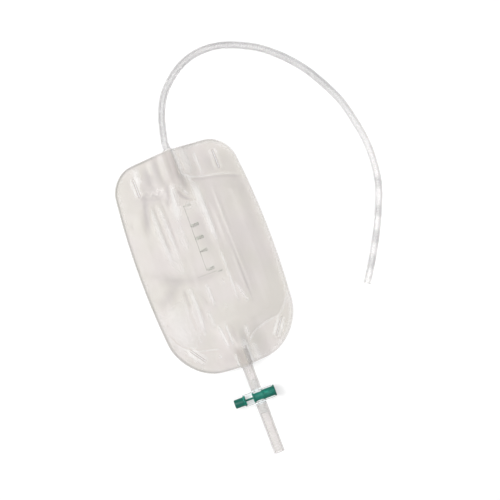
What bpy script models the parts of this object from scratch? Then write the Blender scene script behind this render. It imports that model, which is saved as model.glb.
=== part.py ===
"""A urine drainage leg bag with a push-through tap, lying flat.

Two PVC film walls are welded round their edge and across their four corners, where slits in raised
rims take the leg straps. A tube enters at the top and feeds a two-leaf flutter valve, and an outlet tube, a tap
and a drain tube leave at the bottom. The tap is a ribbed spool that slides through a clear cross.

Metres, +Z up. The bag's top points along +Y, and its origin is on the floor below its middle.
"""

from math import ceil, cos, pi, radians, sin, sqrt

import bmesh
import bpy
from mathutils import Vector

# Bag walls
BAG_LENGTH = 0.228
BAG_WIDTH = 0.1384
SIDE_BOW = 0.008
TOP_CROWN = 0.0045
BOTTOM_CROWN = 0.0030
TOP_RADIUS = 0.024
BOTTOM_RADIUS = 0.044
FILM = 0.0003
GAP = 0.0003

# Welds: how wide the edge weld is, and how deep the corner pads reach in from the top and bottom
EDGE_WELD = 0.004
TOP_PAD = 0.0265
TOP_PAD_SLOPE = 0.33
BOTTOM_PAD = 0.020
BOTTOM_PAD_SLOPE = 0.30
WELD_ROLL = 0.009
CHAMBER_PUFF = 0.0024

# Strap slots: each is a slit through both walls, inside a raised oval rim on the front wall
SLIT_LENGTH = 0.018
SLIT_WIDTH = 0.0005
SLOT_SHIFT = 0.0016
TOP_SLOT_SPACING = 0.085
TOP_SLOT_DEPTH = 0.0239
BOTTOM_SLOT_SPACING = 0.0868
BOTTOM_SLOT_DEPTH = 0.0246
BOTTOM_SLOT_LEAN = radians(35)
RIM_OFFSET = 0.0028
RIM_WIDTH = 0.0024
RIM_HEIGHT = 0.0006

# Inlet: a sleeve welded between the walls, with a nose that the valve leaves wrap
INLET_X = 0.0018
INLET_TUBE_OD = 0.0070
INLET_PORT_OD = 0.0094
INLET_PORT_BORE = 0.0046
INLET_PORT_INSIDE = 0.0266
INLET_PORT_OUTSIDE = 0.0012
NOSE_OD = 0.0082
NOSE_LENGTH = 0.0055
LEAF = 0.0002
LEAF_ROOM = 0.0005
LEAF_LENGTH = 0.034
LEAF_TOP_WIDTH = 0.0185
LEAF_END_WIDTH = 0.021

# Outlet: a sleeve in the bottom weld, the outlet tube, the tap and the drain tube on one axis
OUTLET_X = 0.0014
OUTLET_SLEEVE_OD = 0.0128
OUTLET_SLEEVE_INSIDE = 0.0190
OUTLET_SLEEVE_OUTSIDE = 0.0010
OUTLET_TUBE_OD = 0.0108
OUTLET_TUBE_ID = 0.0072
OUTLET_TUBE_FREE = 0.0253
OUTLET_TUBE_TUCKED = 0.0160
DRAIN_TUBE_LENGTH = 0.0512

# Tap body
BARREL_OD = 0.0124
BARREL_BORE = 0.0112
BARREL_LEFT = 0.0155
BARREL_RIGHT = 0.0156
COLLAR_OD = 0.0112
COLLAR_REACH = 0.0076
SPIGOT_LENGTH = 0.0100
SPIGOT_BORE = 0.0044
EDGE_CHAMFER = 0.0004

# Tap spool: ribs one stroke apart seal either side of the way through, and a thin neck lets it flow
RUNNING_CLEARANCE = 0.0002
STROKE = 0.0095
RIB_WIDTH = 0.0020
LAND_D = 0.0086
NECK_D = 0.0020
SHAFT_D = 0.0096
HEAD_D = 0.0089
HEAD_LENGTH = 0.0097
END_FLANGE_D = 0.0114
END_FLANGE_WIDTH = 0.0018

# How finely the forms are divided
FACETS = 24
CORNER_FACETS = 10
SLOT_FACETS = 16
OUTLINE_STEP = 0.0120
FRONT_STEP = 0.0042
BACK_STEP = 0.0120
WEB_STEP = 0.0040
PORT_STEP = 0.0017
SLEEVE_ROW = 0.0060
CHAMBER_ROW = 0.0100
VALVE_ROW = 0.0055
PORT_ROW = 0.0080
TAU = 2 * pi

# Places along the length, worked out from the sizes above
OUTLET_REACH = OUTLET_TUBE_FREE + 2 * COLLAR_REACH + 2 * GAP + DRAIN_TUBE_LENGTH
BAG_Y = (OUTLET_REACH - INLET_PORT_OUTSIDE) / 2
TOP_Y = BAG_Y + BAG_LENGTH / 2
BOTTOM_Y = BAG_Y - BAG_LENGTH / 2
TAP_Y = BOTTOM_Y - OUTLET_TUBE_FREE - GAP - COLLAR_REACH
INLET_Z = FILM + GAP + INLET_PORT_OD / 2
OUTLET_Z = FILM + GAP + OUTLET_SLEEVE_OD / 2
PORT_END_Y = TOP_Y - INLET_PORT_INSIDE
LEAF_TOP_Y = PORT_END_Y + NOSE_LENGTH - 2 * GAP
LEAF_END_Y = LEAF_TOP_Y - LEAF_LENGTH

# The inlet tube's route over the floor from the port to its open end, in metres
TUBE_REST = 0.0036
INLET_ROUTE = [
    (0.0039, 0.1776, 0.0046),
    (0.0081, 0.1931, 0.0038),
    (0.0160, 0.2101, TUBE_REST),
    (0.0270, 0.2229, TUBE_REST),
    (0.0405, 0.2331, TUBE_REST),
    (0.0560, 0.2397, TUBE_REST),
    (0.0725, 0.2417, TUBE_REST),
    (0.0900, 0.2393, TUBE_REST),
    (0.1080, 0.2324, TUBE_REST),
    (0.1257, 0.2224, TUBE_REST),
    (0.1435, 0.2070, TUBE_REST),
    (0.1593, 0.1884, TUBE_REST),
    (0.1715, 0.1679, TUBE_REST),
    (0.1816, 0.1460, TUBE_REST),
    (0.1876, 0.1226, TUBE_REST),
    (0.1913, 0.0991, TUBE_REST),
    (0.1910, 0.0751, TUBE_REST),
    (0.1870, 0.0516, TUBE_REST),
    (0.1778, 0.0286, TUBE_REST),
    (0.1677, 0.0077, TUBE_REST),
    (0.1555, -0.0139, TUBE_REST),
    (0.1425, -0.0344, TUBE_REST),
]
ROUTE_STEP = 0.0155

# Folds of the front wall: both ends as shares of the half width and half length, width and height
FOLDS = [
    ((0.45, 0.56), (0.44, -0.54), 0.0030, 0.0018),
    ((0.66, 0.42), (0.60, -0.30), 0.0060, 0.0012),
    ((0.24, 0.55), (0.28, -0.40), 0.0050, 0.0016),
    ((-0.14, 0.60), (-0.18, -0.10), 0.0040, 0.0018),
    ((-0.34, 0.58), (-0.30, -0.10), 0.0045, 0.0014),
    ((-0.68, 0.50), (-0.62, 0.16), 0.0050, 0.0022),
    ((-0.90, 0.02), (-0.42, -0.14), 0.0050, 0.0018),
    ((-0.42, -0.14), (0.06, -0.16), 0.0045, 0.0014),
    ((-0.52, -0.18), (-0.12, -0.74), 0.0045, 0.0018),
    ((-0.32, -0.20), (-0.05, -0.74), 0.0040, 0.0022),
    ((-0.12, -0.24), (0.02, -0.72), 0.0035, 0.0018),
    ((0.34, -0.44), (0.12, -0.76), 0.0040, 0.0016),
    ((0.62, -0.46), (0.50, -0.66), 0.0035, 0.0012),
]


def smooth(value, low, high):
    """0 below low, 1 above high, and an even S between them."""
    share = min(1.0, max(0.0, (value - low) / (high - low)))
    return share * share * (3 - 2 * share)


# Materials


def material(name, colour, roughness, alpha=1.0):
    made = bpy.data.materials.new(name)
    made.use_nodes = True
    shader = made.node_tree.nodes["Principled BSDF"]
    shader.inputs["Base Color"].default_value = (*colour, 1)
    shader.inputs["Roughness"].default_value = roughness
    shader.inputs["Metallic"].default_value = 0
    shader.inputs["Alpha"].default_value = alpha
    return made


# Shapes


def add_object(name, mesh, finish):
    made = bpy.data.objects.new(name, mesh)
    bpy.context.scene.collection.objects.link(made)
    made.data.materials.append(finish)
    return made


def guide(made):
    """Marks an object as a cutter or a joined-in form, which isn't a piece of its own."""
    made.hide_render = True
    made.display_type = "WIRE"
    return made


def turned(name, profile, along, finish):
    """A solid of revolution about X or Y, from a closed loop of (place along the axis, radius)."""
    shape = bmesh.new()
    axis = Vector(along)
    corners = [shape.verts.new(axis * place + Vector((0, 0, radius))) for place, radius in profile]
    loop = list(zip(corners, corners[1:] + corners[:1]))
    on_axis = [corner for corner, (_, radius) in zip(corners, profile) if radius == 0]
    edges = [shape.edges.new(pair) for pair in loop if not set(pair) <= set(on_axis)]
    bmesh.ops.spin(
        shape, geom=corners + edges, cent=(0, 0, 0), axis=axis, angle=TAU, steps=FACETS, use_merge=True
    )
    bmesh.ops.remove_doubles(shape, verts=shape.verts, dist=1e-6)
    bmesh.ops.recalc_face_normals(shape, faces=shape.faces)
    mesh = bpy.data.meshes.new(name)
    shape.to_mesh(mesh)
    shape.free()
    mesh.shade_smooth()
    mesh.set_sharp_from_angle(angle=radians(35))
    return add_object(name, mesh, finish)


def pipe(start, end, outer_r, inner_r, chamfer=0.0):
    """The section of a pipe, with its outer corners broken by a chamfer."""
    return [
        (start, inner_r),
        (start, outer_r - chamfer),
        (start + chamfer, outer_r),
        (end - chamfer, outer_r),
        (end, outer_r - chamfer),
        (end, inner_r),
    ] if chamfer else [(start, inner_r), (start, outer_r), (end, outer_r), (end, inner_r)]


def boolean(made, other, operation):
    cut = made.modifiers.new(f"{operation.lower()} {other.name}", "BOOLEAN")
    cut.operation = operation
    cut.solver = "EXACT"
    cut.object = other


def sheet(name, outline, columns, rows, height, thickness, finish):
    """A film wall: a flat outline ruled into cells, lifted to height(x, y), then given its thickness.

    A positive thickness grows upwards from the lifted sheet, a negative one downwards.
    """
    shape = bmesh.new()
    shape.faces.new([shape.verts.new((x, y, 0)) for x, y in outline])
    for place, normal in [((x, 0, 0), (1, 0, 0)) for x in columns] + [((0, y, 0), (0, 1, 0)) for y in rows]:
        everything = shape.verts[:] + shape.edges[:] + shape.faces[:]
        bmesh.ops.bisect_plane(shape, geom=everything, plane_co=place, plane_no=normal, dist=1e-5)
    bmesh.ops.triangulate(shape, faces=shape.faces)
    bmesh.ops.recalc_face_normals(shape, faces=shape.faces)
    if shape.faces[0].normal.z < 0:
        bmesh.ops.reverse_faces(shape, faces=shape.faces)
    for corner in shape.verts:
        corner.co.z = height(corner.co.x, corner.co.y)
    mesh = bpy.data.meshes.new(name)
    shape.to_mesh(mesh)
    shape.free()
    mesh.shade_smooth()
    made = add_object(name, mesh, finish)
    wall = made.modifiers.new("wall", "SOLIDIFY")
    wall.thickness = abs(thickness)
    wall.offset = 1 if thickness > 0 else -1
    return made


def ruled(low, high, step):
    """Evenly spaced places inside an interval, no further apart than step."""
    count = max(1, ceil((high - low) / step))
    return [low + (high - low) * k / count for k in range(1, count)]


# The bag's outline


def bag_outline():
    """A rounded rectangle whose sides bow out and whose ends are crowned, anticlockwise."""
    half_width, half_length = BAG_WIDTH / 2, BAG_LENGTH / 2
    corners = [
        (half_width - TOP_RADIUS, half_length - TOP_RADIUS, TOP_RADIUS, 0),
        (TOP_RADIUS - half_width, half_length - TOP_RADIUS, TOP_RADIUS, 1),
        (BOTTOM_RADIUS - half_width, BOTTOM_RADIUS - half_length, BOTTOM_RADIUS, 2),
        (half_width - BOTTOM_RADIUS, BOTTOM_RADIUS - half_length, BOTTOM_RADIUS, 3),
    ]
    plain = []
    for x, y, radius, quarter in corners:
        for k in range(CORNER_FACETS + 1):
            angle = (quarter + k / CORNER_FACETS) * pi / 2
            plain.append((x + radius * cos(angle), y + radius * sin(angle)))
    points = []
    for (x0, y0), (x1, y1) in zip(plain, plain[1:] + plain[:1]):
        count = ceil(sqrt((x1 - x0) ** 2 + (y1 - y0) ** 2) / OUTLINE_STEP)
        for k in range(count):
            points.append(bowed(x0 + (x1 - x0) * k / count, y0 + (y1 - y0) * k / count))
    return points


def bowed(x, y):
    """A point of the plain rounded rectangle, moved so that sides bow and ends crown."""
    across, along = x / (BAG_WIDTH / 2), y / (BAG_LENGTH / 2)
    crown = TOP_CROWN if along > 0 else BOTTOM_CROWN
    return x - SIDE_BOW * along**2 * across, BAG_Y + y - crown * across**2 * along


def side_x(y):
    """Half the bag's width at a place along it, clear of the rounded corners."""
    return BAG_WIDTH / 2 - SIDE_BOW * ((y - BAG_Y) / (BAG_LENGTH / 2)) ** 2


# Heights of the film walls

PORT_CREST = 0.001  # how far from the axis the film stays level over the inlet port
PORT_ROLL = 0.007  # how far beyond that it comes down
OUTLET_CREST = 0.0018
OUTLET_ROLL = 0.009
WEB_START = 0.001  # how far inside the roll the weld web starts to fall
WEB_FALL = 0.020  # how far beyond the roll it falls to the floor
LEAF_FALL = 0.004  # how far beyond a leaf's edge the walls come together
VALVE_FLAT = 0.022  # how far below the port's end the leaves lie flat
CLOSING_START = 0.001  # how far from the leaves and the sleeve the walls start to close
VALVE_CLOSING = 0.010  # how far below the valve's leaves they come together
SLEEVE_CLOSING = 0.031  # how far above the outlet sleeve they do
NOSE_EASE = 0.0001


def inlet_parting(x, y):
    """Half the space between the walls at the inlet port and the flutter valve below it."""
    away = abs(x - INLET_X)
    stack = (LEAF + LEAF_ROOM) * (1 - smooth(away, LEAF_END_WIDTH / 2, LEAF_END_WIDTH / 2 + LEAF_FALL))
    below = LEAF_END_Y - y
    return stack * (1 - smooth(below, CLOSING_START, VALVE_CLOSING)) + valve_opening(x, y)


def valve_opening(x, y):
    """How far each leaf stands off the port's axis plane: round the nose, then closing flat."""
    away = abs(x - INLET_X)
    round_nose = NOSE_OD / 2 + GAP + NOSE_EASE
    closing = 1 - smooth(PORT_END_Y - y, 0, VALVE_FLAT)
    return round_nose * closing * (1 - smooth(away, PORT_CREST, PORT_CREST + PORT_ROLL))


def outlet_parting(x, y):
    """Half the space between the walls at the outlet sleeve, closing up inside the chamber."""
    away = abs(x - OUTLET_X)
    sleeve = OUTLET_SLEEVE_OD / 2 + GAP
    closing = 1 - smooth(y - (BOTTOM_Y + OUTLET_SLEEVE_INSIDE), CLOSING_START, SLEEVE_CLOSING)
    return sleeve * closing * (1 - smooth(away, OUTLET_CREST, OUTLET_CREST + OUTLET_ROLL))


def parting(x, y):
    return GAP / 2 + inlet_parting(x, y) + outlet_parting(x, y)


def middle(x, y):
    """The plane where the walls meet. It stands at the ports' axes and falls to the floor beside them."""
    at_inlet = 1 - smooth(abs(x - INLET_X), PORT_ROLL - WEB_START, PORT_ROLL + WEB_FALL)
    at_outlet = 1 - smooth(abs(x - OUTLET_X), OUTLET_ROLL - WEB_START, OUTLET_ROLL + WEB_FALL)
    return FILM + GAP / 2 + inlet_parting(INLET_X, y) * at_inlet + outlet_parting(OUTLET_X, y) * at_outlet


def chamber(x, y):
    """1 inside the chamber and 0 on the welds, with a soft roll between them."""
    top = TOP_Y - TOP_PAD - TOP_PAD_SLOPE * abs(x)
    bottom = BOTTOM_Y + BOTTOM_PAD + BOTTOM_PAD_SLOPE * abs(x)
    return (
        smooth(side_x(y) - EDGE_WELD - abs(x), 0, WELD_ROLL)
        * smooth(top - y, 0, WELD_ROLL)
        * smooth(y - bottom, 0, WELD_ROLL)
    )


def fold_height(x, y):
    total = 0.0
    for (u0, v0), (u1, v1), width, height in FOLDS:
        start = Vector((u0 * BAG_WIDTH / 2, BAG_Y + v0 * BAG_LENGTH / 2))
        end = Vector((u1 * BAG_WIDTH / 2, BAG_Y + v1 * BAG_LENGTH / 2))
        line = end - start
        share = (Vector((x, y)) - start).dot(line) / line.length_squared
        taper = smooth(share, -0.15, 0.2) * (1 - smooth(share, 0.8, 1.15))
        if taper:
            away = (Vector((x, y)) - start - line * share).length
            total += height * taper * (1 - smooth(away, 0, 1.6 * width))
    return total


def front_height(x, y):
    """The inner face of the front wall."""
    return middle(x, y) + parting(x, y) + chamber(x, y) * (CHAMBER_PUFF + fold_height(x, y))


def back_height(x, y):
    """The inner face of the back wall, which lies on the floor wherever no port lifts it."""
    return middle(x, y) - parting(x, y)


# Parts


def slot_places():
    """Centre and turn of each strap slot."""
    for side in (-1, 1):
        yield SLOT_SHIFT + side * TOP_SLOT_SPACING / 2, TOP_Y - TOP_SLOT_DEPTH, 0.0
        lean = -side * BOTTOM_SLOT_LEAN
        yield SLOT_SHIFT + side * BOTTOM_SLOT_SPACING / 2, BOTTOM_Y + BOTTOM_SLOT_DEPTH, lean


def oval(shape, radius, z):
    """A ring of corners with round ends, the given distance from the slit's middle line."""
    end = (SLIT_LENGTH - SLIT_WIDTH) / 2
    ring = []
    for k in range(SLOT_FACETS):
        angle = TAU * (k + 0.5) / SLOT_FACETS
        shift = end if sin(angle) > 0 else -end
        ring.append(shape.verts.new((radius * cos(angle), radius * sin(angle) + shift, z)))
    return ring


def lofted(name, rings, closed, places, finish):
    """A guide solid through rings of corners, one copy at each slot."""
    shape = bmesh.new()
    loops = [oval(shape, radius, z) for radius, z in rings]
    for low, high in zip(loops, loops[1:] + loops[:1] if closed else loops[1:]):
        for k in range(SLOT_FACETS):
            shape.faces.new((low[k - 1], low[k], high[k], high[k - 1]))
    if not closed:
        shape.faces.new(loops[0])
        shape.faces.new(loops[-1])
    bmesh.ops.recalc_face_normals(shape, faces=shape.faces)
    mesh = bpy.data.meshes.new(name)
    shape.to_mesh(mesh)
    shape.free()
    made = []
    for index, (x, y, turn) in enumerate(places):
        copy = guide(add_object(f"{name}_{index}", mesh, finish))
        copy.location = (x, y, 0)
        copy.rotation_euler.z = turn
        made.append(copy)
    return made


def slit_cutters(finish):
    """A thin prism with round ends through both walls for each slot."""
    below, above = -2 * FILM, 2 * RIM_HEIGHT + 4 * FILM
    return lofted("slit_cutter", [(SLIT_WIDTH / 2, below), (SLIT_WIDTH / 2, above)], False, slot_places(), finish)


def slot_rims(finish):
    """The raised oval rim round each slit, which stands on the front wall."""
    inner_face, top = FILM + GAP, 2 * FILM + GAP + RIM_HEIGHT
    inner, outer = RIM_OFFSET - RIM_WIDTH / 2, RIM_OFFSET + RIM_WIDTH / 2
    flat = RIM_WIDTH / 5
    section = [
        (inner, inner_face + FILM / 2),
        (RIM_OFFSET - flat, top),
        (RIM_OFFSET + flat, top),
        (outer, inner_face + FILM / 2),
    ]
    return lofted("slot_rim", section, True, slot_places(), finish)


def across_lines(side_step):
    """Places across the bag: close together over the ports, wider over the web, widest at the sides."""
    near = PORT_ROLL + OUTLET_ROLL - 2 * WEB_START
    web = near + WEB_FALL
    reach = BAG_WIDTH / 2
    left, right = INLET_X - near, INLET_X + near
    return [
        *ruled(-reach, left - WEB_FALL, side_step),
        left - WEB_FALL,
        *ruled(INLET_X - web, left, WEB_STEP),
        left,
        *ruled(left, right, PORT_STEP),
        right,
        *ruled(right, INLET_X + web, WEB_STEP),
        INLET_X + web,
        *ruled(INLET_X + web, reach, side_step),
    ]


def along_lines():
    """Places along the bag: closer together at the sleeve, the port and the valve."""
    sleeve_end = BOTTOM_Y + OUTLET_SLEEVE_INSIDE + SLEEVE_CLOSING
    valve_end = LEAF_END_Y - VALVE_CLOSING
    return [
        *ruled(BOTTOM_Y, sleeve_end, SLEEVE_ROW),
        sleeve_end,
        *ruled(sleeve_end, valve_end, CHAMBER_ROW),
        valve_end,
        LEAF_END_Y,
        *ruled(LEAF_END_Y, PORT_END_Y, VALVE_ROW),
        PORT_END_Y,
        LEAF_TOP_Y,
        *ruled(LEAF_TOP_Y, TOP_Y, PORT_ROW),
    ]


def film_walls(finish):
    """The two walls. Near the ports both are ruled by the same lines, so they stay a gap apart."""
    rows = along_lines()
    front = sheet("front_film", bag_outline(), across_lines(FRONT_STEP), rows, front_height, FILM, finish)
    back = sheet("back_film", bag_outline(), across_lines(BACK_STEP), rows, back_height, -FILM, finish)
    for rim in slot_rims(finish):
        boolean(front, rim, "UNION")
    for cutter in slit_cutters(finish):
        boolean(front, cutter, "DIFFERENCE")
        boolean(back, cutter, "DIFFERENCE")


def valve_leaves(finish):
    """The flutter valve: two strips that wrap the port's nose and close flat against each other."""
    top, end = LEAF_TOP_WIDTH / 2, LEAF_END_WIDTH / 2
    outline = [
        (INLET_X - top, LEAF_TOP_Y),
        (INLET_X - end, LEAF_END_Y),
        (INLET_X + end, LEAF_END_Y),
        (INLET_X + top, LEAF_TOP_Y),
    ]
    columns, rows = across_lines(BAG_WIDTH), along_lines()

    def front(x, y):
        return middle(x, y) + GAP / 2 + valve_opening(x, y)

    def back(x, y):
        return middle(x, y) - GAP / 2 - valve_opening(x, y)

    sheet("valve_leaf_front", outline, columns, rows, front, LEAF, finish)
    sheet("valve_leaf_back", outline, columns, rows, back, -LEAF, finish)


def inlet_port(finish):
    """The sleeve between the walls that the inlet tube feeds, stepped down to a nose for the valve."""
    outer, nose, bore = INLET_PORT_OD / 2, NOSE_OD / 2, INLET_PORT_BORE / 2
    mouth = TOP_Y + INLET_PORT_OUTSIDE
    step = PORT_END_Y + NOSE_LENGTH
    profile = [
        (mouth, bore),
        (mouth, outer - EDGE_CHAMFER),
        (mouth - EDGE_CHAMFER, outer),
        (step + EDGE_CHAMFER, outer),
        (step, nose),
        (PORT_END_Y + EDGE_CHAMFER, nose),
        (PORT_END_Y, nose - EDGE_CHAMFER),
        (PORT_END_Y, bore),
    ]
    made = turned("inlet_port", profile, (0, 1, 0), finish)
    made.location = (INLET_X, 0, INLET_Z)


def smooth_route(points, step):
    """Points at even steps along a smooth curve through the route's own points."""
    ends = [points[0] * 2 - points[1], *points, points[-1] * 2 - points[-2]]
    fine = []
    for before, start, end, after in zip(ends, ends[1:], ends[2:], ends[3:]):
        for k in range(24):
            t = k / 24
            fine.append(
                0.5
                * (
                    2 * start
                    + (end - before) * t
                    + (2 * before - 5 * start + 4 * end - after) * t**2
                    + (3 * start - before - 3 * end + after) * t**3
                )
            )
    fine.append(points[-1])
    lengths = [0.0]
    for a, b in zip(fine, fine[1:]):
        lengths.append(lengths[-1] + (b - a).length)
    count = round(lengths[-1] / step)
    route, index = [], 0
    for k in range(count + 1):
        wanted = lengths[-1] * k / count
        while index < len(fine) - 2 and lengths[index + 1] < wanted:
            index += 1
        share = (wanted - lengths[index]) / (lengths[index + 1] - lengths[index])
        route.append(fine[index].lerp(fine[index + 1], share))
    return route


def inlet_tube(finish):
    """The patient's tube, from the port's mouth in one loose curve over the floor to its open end."""
    start = Vector((INLET_X, TOP_Y + INLET_PORT_OUTSIDE + GAP, INLET_Z))
    straight = start + Vector((0, INLET_TUBE_OD, 0))
    route = [start, *smooth_route([straight, *map(Vector, INLET_ROUTE)], ROUTE_STEP)]
    curve = bpy.data.curves.new("inlet_tube", "CURVE")
    curve.dimensions = "3D"
    curve.bevel_depth = INLET_TUBE_OD / 2
    curve.bevel_resolution = 3
    curve.use_fill_caps = True
    line = curve.splines.new("POLY")
    line.points.add(len(route) - 1)
    for point, place in zip(line.points, route):
        point.co = (*place, 1)
    add_object("inlet_tube", curve, finish)


def outlet_sleeve(finish):
    """The sleeve welded into the bottom edge that grips the outlet tube."""
    bore = OUTLET_TUBE_OD / 2 + GAP
    inner_end = BOTTOM_Y + OUTLET_SLEEVE_INSIDE
    outer_end = BOTTOM_Y - OUTLET_SLEEVE_OUTSIDE
    profile = pipe(outer_end, inner_end, OUTLET_SLEEVE_OD / 2, bore, EDGE_CHAMFER / 2)
    turned("outlet_sleeve", profile, (0, 1, 0), finish).location = (OUTLET_X, 0, OUTLET_Z)


def outlet_tubes(finish):
    """The tube from the bag to the tap, and the open one below the tap."""
    outer, inner = OUTLET_TUBE_OD / 2, OUTLET_TUBE_ID / 2
    upper_end = BOTTOM_Y - OUTLET_TUBE_FREE
    upper = pipe(upper_end, BOTTOM_Y + OUTLET_TUBE_TUCKED, outer, inner)
    turned("outlet_tube", upper, (0, 1, 0), finish).location = (OUTLET_X, 0, OUTLET_Z)
    lower_start = TAP_Y - COLLAR_REACH - GAP
    lower = pipe(lower_start - DRAIN_TUBE_LENGTH, lower_start, outer, inner)
    turned("drain_tube", lower, (0, 1, 0), finish).location = (OUTLET_X, 0, OUTLET_Z)


def tap_body(finish):
    """The clear cross: a barrel for the spool, and a collar and a spigot for each tube."""
    place = (OUTLET_X, TAP_Y, OUTLET_Z)
    barrel_r, bore_r = BARREL_OD / 2, BARREL_BORE / 2
    barrel = [
        (-BARREL_LEFT, 0),
        (-BARREL_LEFT, barrel_r - EDGE_CHAMFER),
        (EDGE_CHAMFER - BARREL_LEFT, barrel_r),
        (BARREL_RIGHT - EDGE_CHAMFER, barrel_r),
        (BARREL_RIGHT, barrel_r - EDGE_CHAMFER),
        (BARREL_RIGHT, 0),
    ]
    body = turned("tap_body", barrel, (1, 0, 0), finish)
    body.location = place

    collar_r = COLLAR_OD / 2
    spigot_r = OUTLET_TUBE_ID / 2 - GAP
    spigot_end = COLLAR_REACH + SPIGOT_LENGTH
    upper = [
        (COLLAR_REACH - EDGE_CHAMFER, collar_r),
        (COLLAR_REACH, collar_r - EDGE_CHAMFER),
        (COLLAR_REACH, spigot_r),
        (spigot_end - 2 * EDGE_CHAMFER, spigot_r),
        (spigot_end, spigot_r - EDGE_CHAMFER),
        (spigot_end, 0),
    ]
    lower = [(-along, radius) for along, radius in reversed(upper)]
    spigots = guide(turned("tap_spigots", lower + upper, (0, 1, 0), finish))
    bore = [(-2 * BARREL_LEFT, 0), (-2 * BARREL_LEFT, bore_r), (2 * BARREL_RIGHT, bore_r), (2 * BARREL_RIGHT, 0)]
    spool_way = guide(turned("tap_spool_way", bore, (1, 0, 0), finish))
    flow_r, flow_end = SPIGOT_BORE / 2, 2 * spigot_end
    flow = [(-flow_end, 0), (-flow_end, flow_r), (flow_end, flow_r), (flow_end, 0)]
    flow_way = guide(turned("tap_flow_way", flow, (0, 1, 0), finish))
    for other, operation in ((spigots, "UNION"), (flow_way, "DIFFERENCE"), (spool_way, "DIFFERENCE")):
        other.location = place
        boolean(body, other, operation)
    for crossing in (spigots, flow_way):
        crossing.rotation_euler.y = pi / FACETS


def rib(centre, root_before, root_after):
    """A round-topped sealing rib on the spool, as profile points from left to right."""
    top = BARREL_BORE / 2 - RUNNING_CLEARANCE
    half = RIB_WIDTH / 2
    points = [(centre - half, root_before)]
    for k in range(5):
        angle = pi * (1 - k / 4)
        points.append((centre + half * cos(angle), top - half * 0.6 * (1 - sin(angle))))
    points.append((centre + half, root_after))
    return points


def tap_spool(finish):
    """The push-through spool, one moulding. It is shut at rest, with its solid land across the way."""
    head, neck, land, shaft = HEAD_D / 2, NECK_D / 2, LAND_D / 2, SHAFT_D / 2
    flange, step = END_FLANGE_D / 2, EDGE_CHAMFER
    head_tip = -BARREL_LEFT - HEAD_LENGTH
    first, second, third = -1.5 * STROKE, -0.5 * STROKE, 0.5 * STROKE
    flange_start = BARREL_RIGHT + GAP
    flange_end = flange_start + END_FLANGE_WIDTH
    profile = [
        (head_tip, 0),
        (head_tip, head - 2 * step),
        (head_tip + 2 * step, head),
        *rib(first, head, neck),
        *rib(second, neck, land),
        *rib(third, land, shaft),
        (flange_start, shaft),
        (flange_start, flange - step),
        (flange_start + step, flange),
        (flange_end - step, flange),
        (flange_end, flange - step),
        (flange_end, 0),
    ]
    made = turned("tap_spool", profile, (1, 0, 0), finish)
    made.location = (0, 0, 0)
    axis = bpy.data.objects.new("spool_axis", None)
    bpy.context.scene.collection.objects.link(axis)
    axis.location = (OUTLET_X, TAP_Y, OUTLET_Z)
    made.parent = axis


def main():
    for old in list(bpy.data.objects):
        bpy.data.objects.remove(old)
    film = material("frosted film", (0.80, 0.78, 0.75), 0.35, 0.6)
    leaf = material("valve film", (0.76, 0.74, 0.72), 0.35, 0.6)
    tube = material("clear tube", (0.84, 0.83, 0.84), 0.18, 0.5)
    moulded = material("clear moulding", (0.86, 0.86, 0.87), 0.12, 0.4)
    green = material("green moulding", (0.012, 0.19, 0.14), 0.32)
    film_walls(film)
    valve_leaves(leaf)
    inlet_port(tube)
    inlet_tube(tube)
    outlet_sleeve(tube)
    outlet_tubes(tube)
    tap_body(moulded)
    tap_spool(green)


main()
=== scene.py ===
"""The looks of a urine drainage leg bag: frosted film walls, clear tubes and a green push-through tap."""

from math import atan2, ceil, cos, pi, radians, sin

import bmesh
import bpy
import numpy as np
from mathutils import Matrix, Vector
from mathutils.geometry import delaunay_2d_cdt


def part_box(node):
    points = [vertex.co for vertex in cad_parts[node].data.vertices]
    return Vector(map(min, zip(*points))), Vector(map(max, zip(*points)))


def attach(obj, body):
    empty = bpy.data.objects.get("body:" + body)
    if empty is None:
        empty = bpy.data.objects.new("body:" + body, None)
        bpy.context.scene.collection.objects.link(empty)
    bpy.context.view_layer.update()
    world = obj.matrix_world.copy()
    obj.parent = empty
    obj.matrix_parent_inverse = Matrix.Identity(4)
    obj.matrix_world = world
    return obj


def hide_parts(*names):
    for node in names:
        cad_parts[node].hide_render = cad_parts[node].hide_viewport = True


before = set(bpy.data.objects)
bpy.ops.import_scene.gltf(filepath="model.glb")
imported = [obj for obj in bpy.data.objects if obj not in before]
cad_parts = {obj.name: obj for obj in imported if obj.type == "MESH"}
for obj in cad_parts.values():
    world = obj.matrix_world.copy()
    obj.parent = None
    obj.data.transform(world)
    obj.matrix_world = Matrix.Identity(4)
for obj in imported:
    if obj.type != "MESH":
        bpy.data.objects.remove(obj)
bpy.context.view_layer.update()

TAU = 2 * pi

# Places and sizes that come from the frame

FILM_LOW, FILM_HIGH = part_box("front_film")
PORT_LOW, PORT_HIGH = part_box("inlet_port")
SLEEVE_LOW, SLEEVE_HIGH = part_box("outlet_sleeve")
OUTLET_LOW, OUTLET_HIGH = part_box("outlet_tube")
DRAIN_LOW, DRAIN_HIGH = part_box("drain_tube")
TAP_LOW, TAP_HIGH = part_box("tap_body")
SPOOL_LOW, SPOOL_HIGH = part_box("tap_spool")
LEAF_LOW, LEAF_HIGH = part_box("valve_leaf_front")

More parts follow.
